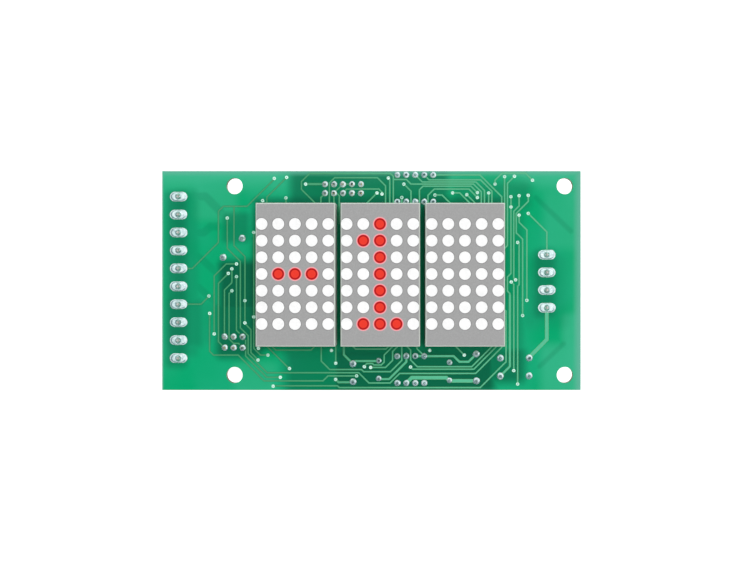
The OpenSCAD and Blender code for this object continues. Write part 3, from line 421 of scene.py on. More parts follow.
def finish(name, shades, roughness, metallic=0.0, size=6.0, grain_size=0.15,
           grain_depth=0.004, stretch=(1, 1, 1), edge=None, coat=0.0, specular=0.5):
    """Material from two shades, or from a function that builds its colour."""
    material = bpy.data.materials.new(name)
    material.use_nodes = True
    tree = material.node_tree
    shader = tree.nodes["Principled BSDF"]
    if callable(shades):
        base = shades(tree)
    else:
        base = use(tree, mottle, First=shades[0], Second=shades[1], Size=size)["Colour"]
    texture = use(tree, grain, Size=grain_size, Depth=grain_depth, Stretch=stretch)
    if edge:
        rubbed = use(tree, worn_edge, Width=EDGE_WIDTH, Amount=EDGE_AMOUNT)["Mask"]
        base = mix(tree, rubbed, base, edge)
    tree.links.new(base, shader.inputs["Base Color"])
    sheen = ramp(tree, texture["Mask"], 0, 1, roughness + ROUGHNESS_LOW, roughness + ROUGHNESS_HIGH)
    tree.links.new(sheen, shader.inputs["Roughness"])
    tree.links.new(texture["Normal"], shader.inputs["Normal"])
    shader.inputs["Metallic"].default_value = metallic
    shader.inputs["Coat Weight"].default_value = coat
    shader.inputs["Specular IOR Level"].default_value = specular
    return material


def dress(material, *names):
    """Gives CAD nodes a finish."""
    for name in names:
        slots = nodes[name].material_slots
        if not slots:
            nodes[name].data.materials.append(material)
        for slot in slots:
            slot.material = material
    print(material.name, "on", ", ".join(names))


# %% [markdown]
# ## Solder mask over bare laminate
# The green is a thin epoxy film over glass laminate. It is bright where only laminate lies
# below it, darker where the copper of the rear shows through, and its film follows the weave
# of the glass. Painted shade darkens it over the rear parts and round what stands on the
# board, and a painted reflection makes it paler towards the edges. The cut edges and the
# holes have no film, so they show the straw-coloured laminate in layers.

# %% Board finish
MASK_BRIGHT = paint(2, 165, 109)
MASK_WARM = paint(20, 168, 118)
# Pale film where no copper lies behind, also used for the painted reflection towards the edges
MASK_PALE = paint(62, 184, 142)
MASK_LIP = paint(102, 178, 156)
# Darker film over rear copper, also used for the painted shade over rear parts and round the long
# pads
MASK_DEEP = paint(5, 95, 66)
MASK_SHADE = paint(6, 84, 62)
MASK_REAR = paint(8, 148, 98)
LAMINATE = paint(150, 160, 104)
LAMINATE_DARK = paint(84, 110, 66)
WEAVE_PITCH = 0.9
FILM_SPECULAR = 0.06
SHADE_DEPTH, PAD_SHARE = 0.68, 0.7

# Painted reflection towards the top, right and left edges, then a narrow pale band right at those
# edges: start, end and strength
EDGE_REFLECTION = ((-9, 1, 1.0), (-8, 2, 0.6), (-8, 10, 0.5))
LIP = ((-1.8, 0, 0.7), (-2.6, 0, 0.85), (-0.6, -0.1, 0.7))

matrix_low, matrix_high = span("matrix_1_housing")[0], span("matrix_3_housing")[1]

# Painted shade, mostly over rear parts behind the film and round the long pads: middle, half size,
# softness and depth
PAINTED_SHADE_AREAS = [
    (-46.5, 15, 2.5, 3, 2.5, 0.5), (-45, -1.5, 4.5, 5.5, 3.5, 0.95),
    (-45.5, -14, 4.5, 6, 4, 0.85), (-16, 26, 13, 3, 4, 0.7), (3, 26, 9, 4, 3.5, 0.67),
    (26, 24, 9, 2, 4, 0.4), (4, -25.3, 21, 4.3, 4, 0.95), (29.5, -24, 4, 3, 4, 0.75),
    (-22, -26, 8, 4, 5, 0.65), (31, -2, 2.5, 24, 3, 0.35), (41, -3, 4, 8, 5, 0.2),
    (-60.5, 2, 2, 22, 3, 0.25), (-60.5, -12, 3, 5, 4, 0.4), (-56, -12, 3, 4, 4, 0.2)]
# Areas with no copper on either face, which are paler
CLEAR_AREAS = [
    (-52, 22, 4, 3, 4, 0.4), (46, -25, 4, 5, 4, 0.55), (49.5, -16, 2, 5, 3, 0.5),
    (46, 17, 3, 6, 4, 0.35), (-41, -28, 4, 3, 4, 0.35)]
# Rear copper that shades the film in front of it: its two ends and half width
REAR_COPPER = [
    ((-59, 23.8), (-55, 23.8), 0.7), ((-55, 23.8), (-50, 18.8), 0.7),
    ((-59, 13.6), (-55.5, 13.6), 0.7), ((-55.5, 13.6), (-53.5, 15.3), 0.7),
    ((-53.5, 15.3), (-46, 15.3), 0.7), ((-59, 8.5), (-52, 2.5), 0.6), ((-58, -1), (-48, -10), 0.6),
    ((38.5, 23.5), (48.5, 14), 0.25), ((39.6, -24.3), (46.4, -17.9), 0.2)]
REAR_COPPER_DEPTH, REAR_COPPER_SOFT = 0.21, 0.9

print(len(PAINTED_SHADE_AREAS), "dark areas,", len(CLEAR_AREAS), "pale,", len(REAR_COPPER), "strips")

# %% [markdown]
# ## A soft strip
# Copper on the rear face shows through the board as a blurred darker strip. The group below
# measures how far a place is from the line between two points, which needs only a dot
# product, and turns that distance into a mask.

# %% Strip between two points
group, give, take = new_group(
    "band", {"Start": (0.0, 0.0, 0.0), "End": (1.0, 0.0, 0.0), "Half width": 1.0, "Soft": 1.0},
    {"Mask": "Float"})
place = vector(group, "MULTIPLY", use(group, millimetres)["Place"], (1.0, 1.0, 0.0))
along = vector(group, "SUBTRACT", give["End"], give["Start"])
reach = vector(group, "SUBTRACT", place, give["Start"])
share = calc(group, "DIVIDE", measure(group, "DOT_PRODUCT", reach, along),
             measure(group, "DOT_PRODUCT", along, along), clamp=True)
gap = measure(group, "DISTANCE", reach, scaled(group, along, share))
beyond = calc(group, "DIVIDE", calc(group, "SUBTRACT", gap, give["Half width"]), give["Soft"])
band = end_group(group, take, Mask=ramp(group, beyond, 1.0, 0.0))


# %% [markdown]
# ## The film's shades, one over the other
# The colour starts as a drifting green. Pale areas, a painted reflection towards the edges,
# the darker strips over rear copper, painted shade over rear parts and painted shade beside
# what stands on the board are laid over it in turn, each by its own mask. The rear face has
# its own plain green, and the cut edges show the laminate's layers.

# %% Masks on the board
REACH = 99.0  # half size of a box that spans the whole board


def areas(tree, rows):
    """Mask of soft boxes, the deepest winning where they overlap."""
    deepest = None
    for x, y, half_x, half_y, soft, depth in rows:
        box = use(tree, patch, Middle=(x, y, 0.0), Half=(half_x, half_y, REACH), Soft=soft)["Mask"]
        mask = calc(tree, "MULTIPLY", box, depth)
        deepest = mask if deepest is None else calc(tree, "MAXIMUM", deepest, mask)
    return deepest


def edge_mask(tree, spot, top, right, left):
    """Mask that rises towards three edges. Each edge gives where it starts and ends, counted
    outwards from the edge, and how strong it gets."""
    mask = ramp(tree, spot[1], board_high.y + top[0], board_high.y + top[1], 0.0, top[2])
    side = ramp(tree, spot[0], board_high.x + right[0], board_high.x + right[1], 0.0, right[2])
    mask = calc(tree, "MAXIMUM", mask, side)
    side = ramp(tree, spot[0], board_low.x - left[0], board_low.x - left[1], 0.0, left[2])
    return calc(tree, "MAXIMUM", mask, side)


def shade_round(tree, low, high, lean, inset, soft):
    """Mask of a soft shade round a box, which leans a little to one side."""
    middle, half = (low + high) / 2, (high - low) / 2
    return use(tree, patch, Middle=(middle.x + lean[0], middle.y + lean[1], 0.0),
               Half=(half.x - inset[0], half.y - inset[1], REACH), Soft=soft)["Mask"]


def standing_shade(tree):
    """Mask of painted shade on the film close round the matrices and the long pads."""
    shade = shade_round(tree, matrix_low, matrix_high, lean=(-0.5, 0.6), inset=(0, 0), soft=2.8)
    for name in ("signal_solder", "power_solder"):
        mask = shade_round(tree, *span(name), lean=(-0.6, -0.6), inset=(1.2, 1.0), soft=3.4)
        shade = calc(tree, "MAXIMUM", shade, calc(tree, "MULTIPLY", mask, PAD_SHARE))
    return shade


print("the matrices' shade is %.1f x %.1f mm" % tuple((matrix_high - matrix_low).xy))


# %% Board colour
def board_colour(tree):
    place = use(tree, millimetres)["Place"]
    spot = put(tree, "ShaderNodeSeparateXYZ", {0: place}).outputs
    base = use(tree, mottle, First=MASK_BRIGHT, Second=MASK_WARM, Size=13.0, Detail=1.0)["Colour"]
    cloud = ramp(tree, use(tree, mottle, Size=20.0)["Mask"], 0, 1, 0.3, 1.0)
    # Painted reflection: the film is paler towards the top, right and left edges
    rim = calc(tree, "MULTIPLY", edge_mask(tree, spot, *EDGE_REFLECTION), cloud)
    base = mix(tree, rim, base, MASK_PALE)
    base = mix(tree, areas(tree, CLEAR_AREAS), base, MASK_PALE)
    # Painted shade over rear parts and round the long pads, then rear copper seen through the film
    deep = areas(tree, PAINTED_SHADE_AREAS)
    for start, end, half_width in REAR_COPPER:
        strip = use(tree, band, Start=(*start, 0.0), End=(*end, 0.0), Half_width=half_width,
                    Soft=REAR_COPPER_SOFT)["Mask"]
        deep = calc(tree, "MAXIMUM", deep, calc(tree, "MULTIPLY", strip, REAR_COPPER_DEPTH))
    base = mix(tree, deep, base, MASK_DEEP)
    shade = calc(tree, "MULTIPLY", standing_shade(tree), SHADE_DEPTH)
    base = mix(tree, shade, base, MASK_SHADE)
    base = mix(tree, edge_mask(tree, spot, *LIP), base, MASK_LIP)
    tilt = facing_up(tree)
    rear = use(tree, mottle, First=MASK_BRIGHT, Second=MASK_REAR, Size=16.0)["Colour"]
    base = mix(tree, ramp(tree, tilt, -0.1, 0.1), rear, base)
    layers = put(tree, "ShaderNodeTexWave", {"Vector": place, "Scale": 0.9, "Distortion": 0.6},
                 bands_direction="Z").outputs[1]
    cut = mix(tree, layers, LAMINATE, LAMINATE_DARK)
    return mix(tree, ramp(tree, calc(tree, "ABSOLUTE", tilt), 0.3, 0.6), cut, base)


board_mask = finish("solder_mask", board_colour, 0.36, grain_size=WEAVE_PITCH, grain_depth=0.012,
                    specular=FILM_SPECULAR)
dress(board_mask, "circuit_board")

# %% [markdown]
# ## Copper under the mask
# A track is copper with the same film over it, so it looks paler, and at its two shoulders
# the film runs thin and the copper shows through. A narrow track is nearly all shoulder and
# reads olive; a wide one keeps a mint middle. Tracks and shoulders are coloured paler
# towards the right of the board.

# %% Track finishes
TRACK_LEFT = paint(74, 162, 116)
TRACK_RIGHT = paint(92, 190, 150)
SHOULDER_LEFT = paint(70, 130, 84)
SHOULDER_RIGHT = paint(112, 176, 118)
VIA_PALE = paint(214, 255, 240)
VIA_GREY = paint(170, 226, 204)
SIDES_MEET = (-40, 15)


def by_side(left, right):
    """Colour that goes from one shade at the left of the board to another at the right."""
    def colour(tree):
        place = use(tree, millimetres)["Place"]
        spot = put(tree, "ShaderNodeSeparateXYZ", {0: place}).outputs
        return mix(tree, ramp(tree, spot[0], *SIDES_MEET), left, right)
    return colour


track_mask = finish("masked_copper", by_side(TRACK_LEFT, TRACK_RIGHT), 0.32, grain_size=0.6,
                    specular=FILM_SPECULAR)
dress(track_mask, "front_tracks", "rear_tracks")
shoulder_mask = finish("thin_mask", by_side(SHOULDER_LEFT, SHOULDER_RIGHT), 0.4, grain_size=0.4,
                       specular=FILM_SPECULAR)
via_mask = finish("masked_via", (VIA_PALE, VIA_GREY), 0.35, size=5.0, grain_size=0.3)
dress(via_mask, "vias")

# %% [markdown]
# ## Dot faces
# Each matrix is a white moulding whose face is painted grey, so its sides and the bevel
# round the face stay pale. The cells are filled with milky resin. Light from a lit cell
# spills a little way into the paint around it. All of this is measured from the nearest dot
# centre, which a small group works out from the pitch.

# %% Dot distance
group, give, take = new_group(
    "from dot", {"First dot": (0.0, 0.0, 0.0), "Pitch": 4.57}, {"Distance": "Float"})
place = use(group, millimetres)["Place"]
pitches = get(group, "ShaderNodeCombineXYZ", {0: give["Pitch"], 1: give["Pitch"], 2: 1.0})
steps = vector(group, "DIVIDE", vector(group, "SUBTRACT", place, give["First dot"]), pitches)
whole = vector(group, "FLOOR", vector(group, "ADD", steps, (0.5, 0.5, 0.5)))
flat = vector(group, "MULTIPLY", vector(group, "SUBTRACT", steps, whole), (1.0, 1.0, 0.0))
length = measure(group, "LENGTH", flat)
from_dot = end_group(group, take, Distance=calc(group, "MULTIPLY", length, give["Pitch"]))

# %% Where the dots are
dots = {}
lit_dots = {}
for m in (1, 2, 3):
    dots[m] = islands("matrix_%d_dots" % m)
for m in (1, 2):
    lit_dots[m] = [middle for middle, half in islands("matrix_%d_lit_dots" % m)]
dot_r = dots[3][0][1].x
column_xs = sorted({round(middle.x, 3) for middle, half in dots[3]})
row_ys = sorted({round(middle.y, 3) for middle, half in dots[3]})
DOT_PITCH = column_xs[1] - column_xs[0]
lit_count = sum(len(places) for places in lit_dots.values())
print("dot radius %.2f, pitch %.3f, %d lit" % (dot_r, DOT_PITCH, lit_count))


def dot_distance(tree, m):
    """Distance from the nearest dot centre of one matrix."""
    first = dots[m][0][0]
    return use(tree, from_dot, First_dot=(first.x, first.y, 0.0), Pitch=DOT_PITCH)["Distance"]


def round_dot(tree, distance, steps):
    """Mask that rises inwards between two distances from a dot's edge."""
    return ramp(tree, distance, dot_r + steps[0], dot_r + steps[1])


# %% [markdown]
# ## Painted faces
# The grey paint stops a little outside each cell, where a thin line of painted shade at the
# bore's edge and then the white moulding show. Round a lit cell its light is painted onto
# the grey around it. The same function makes all three faces, because each matrix only
# differs in where its dots are.

# %% Face finish
FACE_GREY = grey(157)
FACE_SPECK = grey(166)
# Painted shade in a thin ring at the edge of each bore
FACE_BORE_SHADE = grey(112)
MOULDING = paint(208, 216, 208)
RESIN_WHITE = grey(253)
RESIN_MILK = grey(249)
# Painted shade at the rim of each cell
RESIN_RIM_SHADE = grey(228)
LIT_CORE = paint(236, 58, 40)
LIT_LINE = paint(150, 4, 16)
LIT_RIM = paint(240, 66, 70)
SPILL = paint(246, 172, 178)

# Where a mask starts and is full, counted outwards from a dot's edge
BORE_SHADE_STEPS = (0.34, 0.12)
WHITE_STEPS = (0.12, 0.05)
SPILL_STEPS = (0.5, 0.25)
GLOW_STEPS = (0.2, 0.05)


def face_colour(m):
    """Colour of a matrix's housing: painted face, bare sides, painted shade at each bore's edge and
    painted light round lit cells.
    """
    def colour(tree):
        base = use(tree, mottle, First=FACE_GREY, Second=FACE_SPECK, Size=0.25)["Colour"]
        away = dot_distance(tree, m)
        half = (REACH, (row_ys[-1] - row_ys[0] + DOT_PITCH) / 2, REACH)
        dot_rows = use(tree, patch, Middle=(0.0, (row_ys[0] + row_ys[-1]) / 2, 0.0), Half=half,
                       Soft=0.01)["Mask"]
        # Painted shade in a thin ring at each bore's edge
        line = calc(tree, "MULTIPLY", round_dot(tree, away, BORE_SHADE_STEPS), dot_rows)
        base = mix(tree, line, base, FACE_BORE_SHADE)
        white = calc(tree, "MULTIPLY", round_dot(tree, away, WHITE_STEPS), dot_rows)
        base = mix(tree, white, base, RESIN_WHITE)
        place = vector(tree, "MULTIPLY", use(tree, millimetres)["Place"], (1.0, 1.0, 0.0))
        near = None
        for centre in lit_dots.get(m, []):
            gap = measure(tree, "DISTANCE", place, (centre.x, centre.y, 0.0))
            near = gap if near is None else calc(tree, "MINIMUM", near, gap)
        if near is not None:
            # Painted light of the lit cells on the grey round them
            base = mix(tree, round_dot(tree, near, SPILL_STEPS), base, SPILL)
            base = mix(tree, round_dot(tree, near, GLOW_STEPS), base, LIT_RIM)
        return mix(tree, ramp(tree, facing_up(tree), 0.85, 0.98), MOULDING, base)
    return colour


for m in (1, 2, 3):
    face_paint = finish("matrix_paint_%d" % m, face_colour(m), 0.55, grain_size=0.12,
                        grain_depth=0.003)
    dress(face_paint, "matrix_%d_housing" % m)

# %% [markdown]
# ## Cells, unlit and lit
# An unlit cell is white resin with a thin ring of painted shade at its rim. In a lit cell the
# light is strong enough to be its own colour, so it is emission: a bright core, the dark
# outline of the die's cup and a bright rim.

# %% Cell finishes
RESIN_STEPS = (-0.08, 0)
CORE_STEPS = (-0.3, 0)
INNER_STEPS = (-0.5, -0.32)
OUTER_STEPS = (0.02, -0.06)
GLOW = 0.85


def resin_colour(m):
    """Milky resin, with painted shade at its rim."""
    def colour(tree):
        milk = use(tree, mottle, First=RESIN_WHITE, Second=RESIN_MILK, Size=1.5)["Colour"]
        return mix(tree, round_dot(tree, dot_distance(tree, m), RESIN_STEPS), milk, RESIN_RIM_SHADE)
    return colour


def lit_material(m):
    """Resin lit from behind: a bright core, a dark outline and a bright rim."""
    dim = (paint(110, 14, 12), paint(100, 12, 10))
    material = finish("lit_resin_%d" % m, dim, 0.5, size=1.0, specular=0.2)
    tree = material.node_tree
    shader = tree.nodes["Principled BSDF"]
    away = dot_distance(tree, m)
    line = calc(tree, "MULTIPLY", round_dot(tree, away, INNER_STEPS),
                round_dot(tree, away, OUTER_STEPS))
    light = mix(tree, round_dot(tree, away, CORE_STEPS), LIT_CORE, LIT_RIM)
    light = mix(tree, line, light, LIT_LINE)
    tree.links.new(light, shader.inputs["Emission Color"])
    shader.inputs["Emission Strength"].default_value = GLOW
    return material


for m in (1, 2, 3):
    resin = finish("milky_resin_%d" % m, resin_colour(m), 0.45, grain_size=0.5, grain_depth=0.003)
    dress(resin, "matrix_%d_dots" % m)
for m in lit_dots:
    dress(lit_material(m), "matrix_%d_lit_dots" % m)

# %% [markdown]
# ## Plastics, metals and ceramics behind the board
# Mouldings are matt where the tool was spark-eroded and pale along their edges. Tin plate
# and solder are soft bright metals. Cans, sleeves and dipped parts are glossy. Each has its
# own colours, and the same two groups give them grain and wear.

# %% Finishes by kind
SOLDER_BRIGHT = paint(236, 255, 255)
SOLDER_DULL = paint(206, 232, 234)
# The leads' cut ends: partly the cut metal's duller colour, partly painted shade
CUT_DARK = paint(56, 84, 90)
CUT_BRIGHT = paint(156, 180, 182)


def moulded(name, shade, roughness=0.5, edge=40, grain_depth=0.008, coat=0.0):
    """Moulded plastic, a little paler where it is rubbed."""
    first = paint(*shade)
    second = paint(*[min(255, value * 1.06 + 4) for value in shade])
    rubbed = paint(*[min(255, value + edge) for value in shade])
    return finish(name, (first, second), roughness, size=5, grain_size=0.12,
                  grain_depth=grain_depth, edge=rubbed, coat=coat)


def metal(name, shade, dull, roughness, stretch=(1, 1, 1)):
    """Bare metal that drifts between a bright and a dull shade."""
    return finish(name, (paint(*shade), paint(*dull)), roughness, metallic=1.0, size=1.5,
                  grain_size=0.2, stretch=stretch)


def solder_colour(tree):
    """Bright solder, with the darker cut ends of the leads that stand in it: partly the cut metal's
    duller colour, partly painted shade.
    """
    shine = use(tree, mottle, First=SOLDER_BRIGHT, Second=SOLDER_DULL, Size=0.8)["Colour"]
    lead = put(tree, "ShaderNodeAttribute", attribute_name="lead").outputs["Fac"]
    cut = use(tree, mottle, First=CUT_DARK, Second=CUT_BRIGHT, Size=3.0)["Colour"]
    return mix(tree, lead, shine, cut)


solder = finish("solder", solder_colour, 0.22, metallic=0.8, grain_size=0.2)
tin = metal("tin_plate", (214, 214, 208), (190, 190, 184), 0.3)
gilt = metal("gold_flash", (232, 190, 96), (214, 172, 84), 0.25)
can_metal = metal("drawn_can", (206, 208, 210), (188, 190, 192), 0.28, stretch=(1, 1, 8))
wire_enamel = metal("enamelled_wire", (196, 108, 56), (170, 88, 44), 0.3)

print("bare metals:", tin.name, gilt.name, can_metal.name, wire_enamel.name)

# %% Which solids are made of what
MOULDINGS = [
    ("shroud_plastic", (28, 124, 66), 0.42, {}, ["signal_connector", "power_connector"]),
    ("header_plastic", (30, 30, 32), 0.5, {}, ["ribbon_header", "jumper_headers", "switch_base"]),
    ("cap_plastic", (34, 34, 37), 0.45, {}, ["jumper_caps"]),
    ("switch_plastic", (34, 66, 150), 0.4, {}, ["switch_cover"]),
    ("slider_plastic", (236, 236, 230), 0.4, {"edge": 10},
     ["switch_slider_%d" % k for k in range(1, 6)]),
    ("chip_plastic", (38, 38, 40), 0.62, {"grain_depth": 0.014},
     ["regulator", "microcontroller", "driver_chips", "transistors"]),
    ("bung_rubber", (28, 28, 28), 0.75, {}, ["capacitor_bungs"]),
    ("dipped_red", (150, 46, 30), 0.25, {"edge": 12, "coat": 0.4}, ["film_capacitor"]),
    ("dipped_yellow", (220, 168, 48), 0.28, {"edge": 12, "coat": 0.4}, ["fuse_disc"]),
    ("ferrite", (62, 62, 65), 0.7, {"grain_depth": 0.02}, ["choke_core"]),
    ("resistor_glaze", (32, 34, 36), 0.35, {}, ["resistor_chips"]),
    ("carrier_laminate", (30, 92, 62), 0.5, {}, ["matrix_carriers"]),
    ("cast_resin", (214, 206, 170), 0.35, {}, ["matrix_potting"])]

dress(solder, "signal_solder", "power_solder", "part_solder", "matrix_solder", "resistor_ends")
dress(tin, "signal_pins", "power_pins", "matrix_1_pins", "matrix_2_pins", "matrix_3_pins",
      "switch_pins", "regulator_leads", "diode_leads", "radial_leads", "chip_leads",
      "transistor_leads")
dress(gilt, "ribbon_pins", "jumper_pins", "jumper_clips", "led_dies")
dress(can_metal, "capacitor_cans", "crystal_can")
dress(wire_enamel, "choke_winding")
for name, shade, roughness, more, pieces in MOULDINGS:
    dress(moulded(name, shade, roughness, **more), *pieces)

# %% [markdown]
# ## Sleeves and bands
# A smoothing capacitor's dark sleeve has a pale stripe down the side of its negative lead,
# and a diode has a silver band at its cathode. Both are printed, so they are colour on the
# solid and not pieces of their own.

# %% Sleeve finish
SLEEVE = paint(34, 40, 84)
SLEEVE_PALE = paint(40, 47, 96)
STRIPE = paint(196, 200, 214)
STRIPE_OFFSET = 6.0
STRIPE_HALF = (1.1, 4.0, 4.2)

capacitors = [middle for middle, half in islands("capacitor_sleeves")]


def sleeve_colour(tree):
    """Dark sleeve with a pale stripe on its lower side."""
    base = use(tree, mottle, First=SLEEVE, Second=SLEEVE_PALE, Size=5.0)["Colour"]
    for middle in capacitors:
        centre = (middle.x, middle.y - STRIPE_OFFSET, -6.0)
        stripe = use(tree, patch, Middle=centre, Half=STRIPE_HALF, Soft=0.05)["Mask"]
        base = mix(tree, stripe, base, STRIPE)
    return base


sleeve = finish("shrink_sleeve", sleeve_colour, 0.3, grain_size=0.8, grain_depth=0.01, coat=0.3)
dress(sleeve, "capacitor_sleeves")

# %% Diode finish
BAND_FROM, BAND_TO = 1.2, 2.05
BAND_SOFT = 0.05
DIODE_REACH = 5.0
DIAGONAL = math.sqrt(0.5)
# Direction of each diode's cathode, in the order of their places from left to right
CATHODES = ((DIAGONAL, DIAGONAL, 0.0), (0.0, 1.0, 0.0))

diodes = [middle for middle, half in islands("diode_bodies")]


def diode_colour(tree):
    """Black epoxy with a silver band at the cathode of each diode."""
    base = use(tree, mottle, First=grey(30), Second=grey(38), Size=3.0)["Colour"]
    place = use(tree, millimetres)["Place"]
    for middle, cathode in zip(diodes, CATHODES):
        from_middle = vector(tree, "SUBTRACT", place, tuple(middle))
        reach = measure(tree, "DOT_PRODUCT", from_middle, cathode)
        ring = calc(tree, "MULTIPLY", ramp(tree, reach, BAND_FROM, BAND_FROM + BAND_SOFT),
                    ramp(tree, reach, BAND_TO, BAND_TO - BAND_SOFT))
        near = ramp(tree, measure(tree, "LENGTH", from_middle), DIODE_REACH, DIODE_REACH - 0.5)
        base = mix(tree, calc(tree, "MULTIPLY", ring, near), base, grey(205))
    return base


dress(finish("diode_epoxy", diode_colour, 0.35, grain_size=0.3), "diode_bodies")

# %% [markdown]
# ## Geometry Nodes: what repeats and what follows a path
# Over eighty joints have the same shape at other sizes, and the choke's wire follows a
# helix. Each is a small tree with named inputs. `run_tree` sets them by their socket's
# identifier, evaluates the object once and keeps the result as a plain mesh.

# %% Tree helpers
def new_tree(name, inputs):
    """Geometry tree with a Geometry input and output, and named inputs."""
    tree = bpy.data.node_groups.new(name, "GeometryNodeTree")
    tree.interface.new_socket("Geometry", in_out="INPUT", socket_type="NodeSocketGeometry")
    for label, value in inputs.items():
        kinds = {int: "Int", float: "Float", bpy.types.Material: "Material"}
        kind = kinds.get(type(value), "Object")
        tree.interface.new_socket(label, in_out="INPUT", socket_type="NodeSocket" + kind)
    tree.interface.new_socket("Geometry", in_out="OUTPUT", socket_type="NodeSocketGeometry")
    return tree, tree.nodes.new("NodeGroupInput").outputs, tree.nodes.new("NodeGroupOutput").inputs


def end_tree(tree, geometry, material, output):
    """Ends a tree in Realize Instances and Set Material."""
    real = get(tree, "GeometryNodeRealizeInstances", {"Geometry": geometry})
    made = get(tree, "GeometryNodeSetMaterial", {"Geometry": real, "Material": material})
    tree.links.new(made, output[0])


def run_tree(name, tree, inputs, mesh=None):
    """Evaluates a tree on a mesh and returns a plain mesh object at the origin."""
    start = add(name + "_start", mesh or bpy.data.meshes.new(name + "_start"))
    modifier = start.modifiers.new("tree", "NODES")
    modifier.node_group = tree
    for item in tree.interface.items_tree:
        if item.item_type == "SOCKET" and item.in_out == "INPUT" and item.name in inputs:
            modifier[item.identifier] = inputs[item.name]
    evaluated = start.evaluated_get(bpy.context.evaluated_depsgraph_get())
    result = bpy.data.meshes.new_from_object(evaluated)
    bpy.data.objects.remove(start)
    result.name = name
    print(name, len(result.polygons), "faces")
    return add(name, result)


print("tree helpers are ready")


# %% Helpers for pieces
def points_mesh(rows):
    """Loose points with a size and a facing, from rows of place, size and facing."""
    mesh = bpy.data.meshes.new("points")
    mesh.from_pydata([Vector(place) * MM for place, size, facing in rows], [], [])
    for label, column in (("size", 1), ("facing", 2)):
        attribute = mesh.attributes.new(label, "FLOAT_VECTOR", "POINT")
        attribute.data.foreach_set("vector", [value for row in rows for value in row[column]])
    return mesh


def new_object(name, build):
    """Plain smooth object from a bmesh in millimetres."""
    mesh = bpy.data.meshes.new(name)
    bmesh.ops.scale(build, verts=build.verts, vec=(MM, MM, MM))
    build.to_mesh(mesh)
    build.free()
    for face in mesh.polygons:
        face.use_smooth = True
    return add(name, mesh)


def attach(piece, slot, *replaced):
    """Puts a finished piece on the display's body."""
    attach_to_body(piece, BODY)
    if replaced:
        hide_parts(*replaced)


print("piece helpers are ready")

# %% [markdown]
# ## One solder joint
# Solder wets the land and the lead. It lies in a low dome on the land, climbs the lead in a
# steep collar and leaves the lead's cut end standing out. A joint of unit size is turned
# from that profile. An attribute marks the cut end, so that the finish can darken it,
# partly for the cut metal's duller colour and partly as painted shade.

# %% Unit joint
JOINT_SIDES = 24
# Radius and height, from the land's edge to the top of the lead
JOINT_PROFILE = [
    (1, 0), (1, 0.03), (0.94, 0.07), (0.84, 0.12), (0.72, 0.165), (0.6, 0.195), (0.5, 0.215),
    (0.43, 0.25), (0.39, 0.45), (0.37, 0.8), (0.34, 0.96), (0.29, 1), (0.15, 1)]
# Above this share of its height a joint is the cut end of the lead
LEAD_SHARE = 0.9


def stitch(build, rings):
    """Closes rings of vertices into a surface, with a face at each end."""
    for first, second in zip(rings, rings[1:]):
        for k in range(len(first)):
            after = (k + 1) % len(first)
            build.faces.new((first[k], first[after], second[after], second[k]))
    build.faces.new(rings[-1])
    build.faces.new(list(reversed(rings[0])))
    return build


def turned(profile, sides):
    """Surface turned from (radius, height) points."""
    build = bmesh.new()
    rings = []
    for radius, z in profile:
        ring = []
        for k in range(sides):
            angle = 2 * math.pi * k / sides
            ring.append(build.verts.new((radius * math.cos(angle), radius * math.sin(angle), z)))
        rings.append(ring)
    return stitch(build, rings)


unit_joint = new_object("unit_joint", turned(JOINT_PROFILE, JOINT_SIDES))
cut_end = unit_joint.data.attributes.new("lead", "FLOAT", "POINT")
for vertex in unit_joint.data.vertices:
    cut_end.data[vertex.index].value = float(vertex.co.z > LEAD_SHARE * MM)
print("unit joint:", len(unit_joint.data.polygons), "faces")

# %% [markdown]
# ## A joint on every land
# The tree puts a copy of a joint on each point, at the size and facing that the point
# carries, turned at random and made slightly lumpy, so that no two catch the light alike.

# %% Joint tree
JOINT_INPUTS = {"Joint": unit_joint, "Finish": solder, "Seed": 4, "Spin": 6.28, "Lumps": 0.0003}

joint_tree, give, take = new_tree("joints", JOINT_INPUTS)


def carried(label):
    """Vector that each point carries under this name."""
    kind = "GeometryNodeInputNamedAttribute"
    return get(joint_tree, kind, {"Name": label}, data_type="FLOAT_VECTOR")


spin = get(joint_tree, "FunctionNodeRandomValue",
           {2: 0.0, 3: give["Spin"], "Seed": give["Seed"]}, 1, data_type="FLOAT")
upright = get(joint_tree, "ShaderNodeCombineXYZ", {2: spin})
turn = vector(joint_tree, "ADD", carried("facing"), upright)
source = get(joint_tree, "GeometryNodeObjectInfo", {"Object": give["Joint"]}, "Geometry")
copies = get(joint_tree, "GeometryNodeInstanceOnPoints", {
    "Points": give["Geometry"], "Instance": source, "Rotation": turn, "Scale": carried("size")})
single = get(joint_tree, "GeometryNodeRealizeInstances", {"Geometry": copies})
lump = get(joint_tree, "ShaderNodeTexNoise", {"Scale": 900.0, "Detail": 1.0}, "Color")
shift = scaled(joint_tree, vector(joint_tree, "SUBTRACT", lump, (0.5, 0.5, 0.5)), give["Lumps"])
uneven = get(joint_tree, "GeometryNodeSetPosition", {"Geometry": single, "Offset": shift})
end_tree(joint_tree, uneven, give["Finish"], take)
print("joint tree:", len(joint_tree.nodes), "nodes")

# %% [markdown]
# ## Round joints
# Each solid of the solder nodes gives one land. The leads of the parts stand out in front,
# so their joints are tall there and low behind. The matrices' pins are the other way round.

# %% Round joints
REAR_RISE = 0.25
LEAD_COVER = 0.16
lead_rise = span("radial_leads")[1].z - front_z + LEAD_COVER


def joint_points(name, tall_in_front):
    """One point on each face of the board for each joint of a node."""
    rows = []
    for middle, half in islands(name):
        for in_front in (True, False):
            tall = lead_rise if in_front == tall_in_front else lead_rise * REAR_RISE
            place = (middle.x, middle.y, front_z if in_front else 0.0)
            rows.append((place, (half.x, half.x, tall), (0 if in_front else math.pi, 0, 0)))
    return points_mesh(rows)


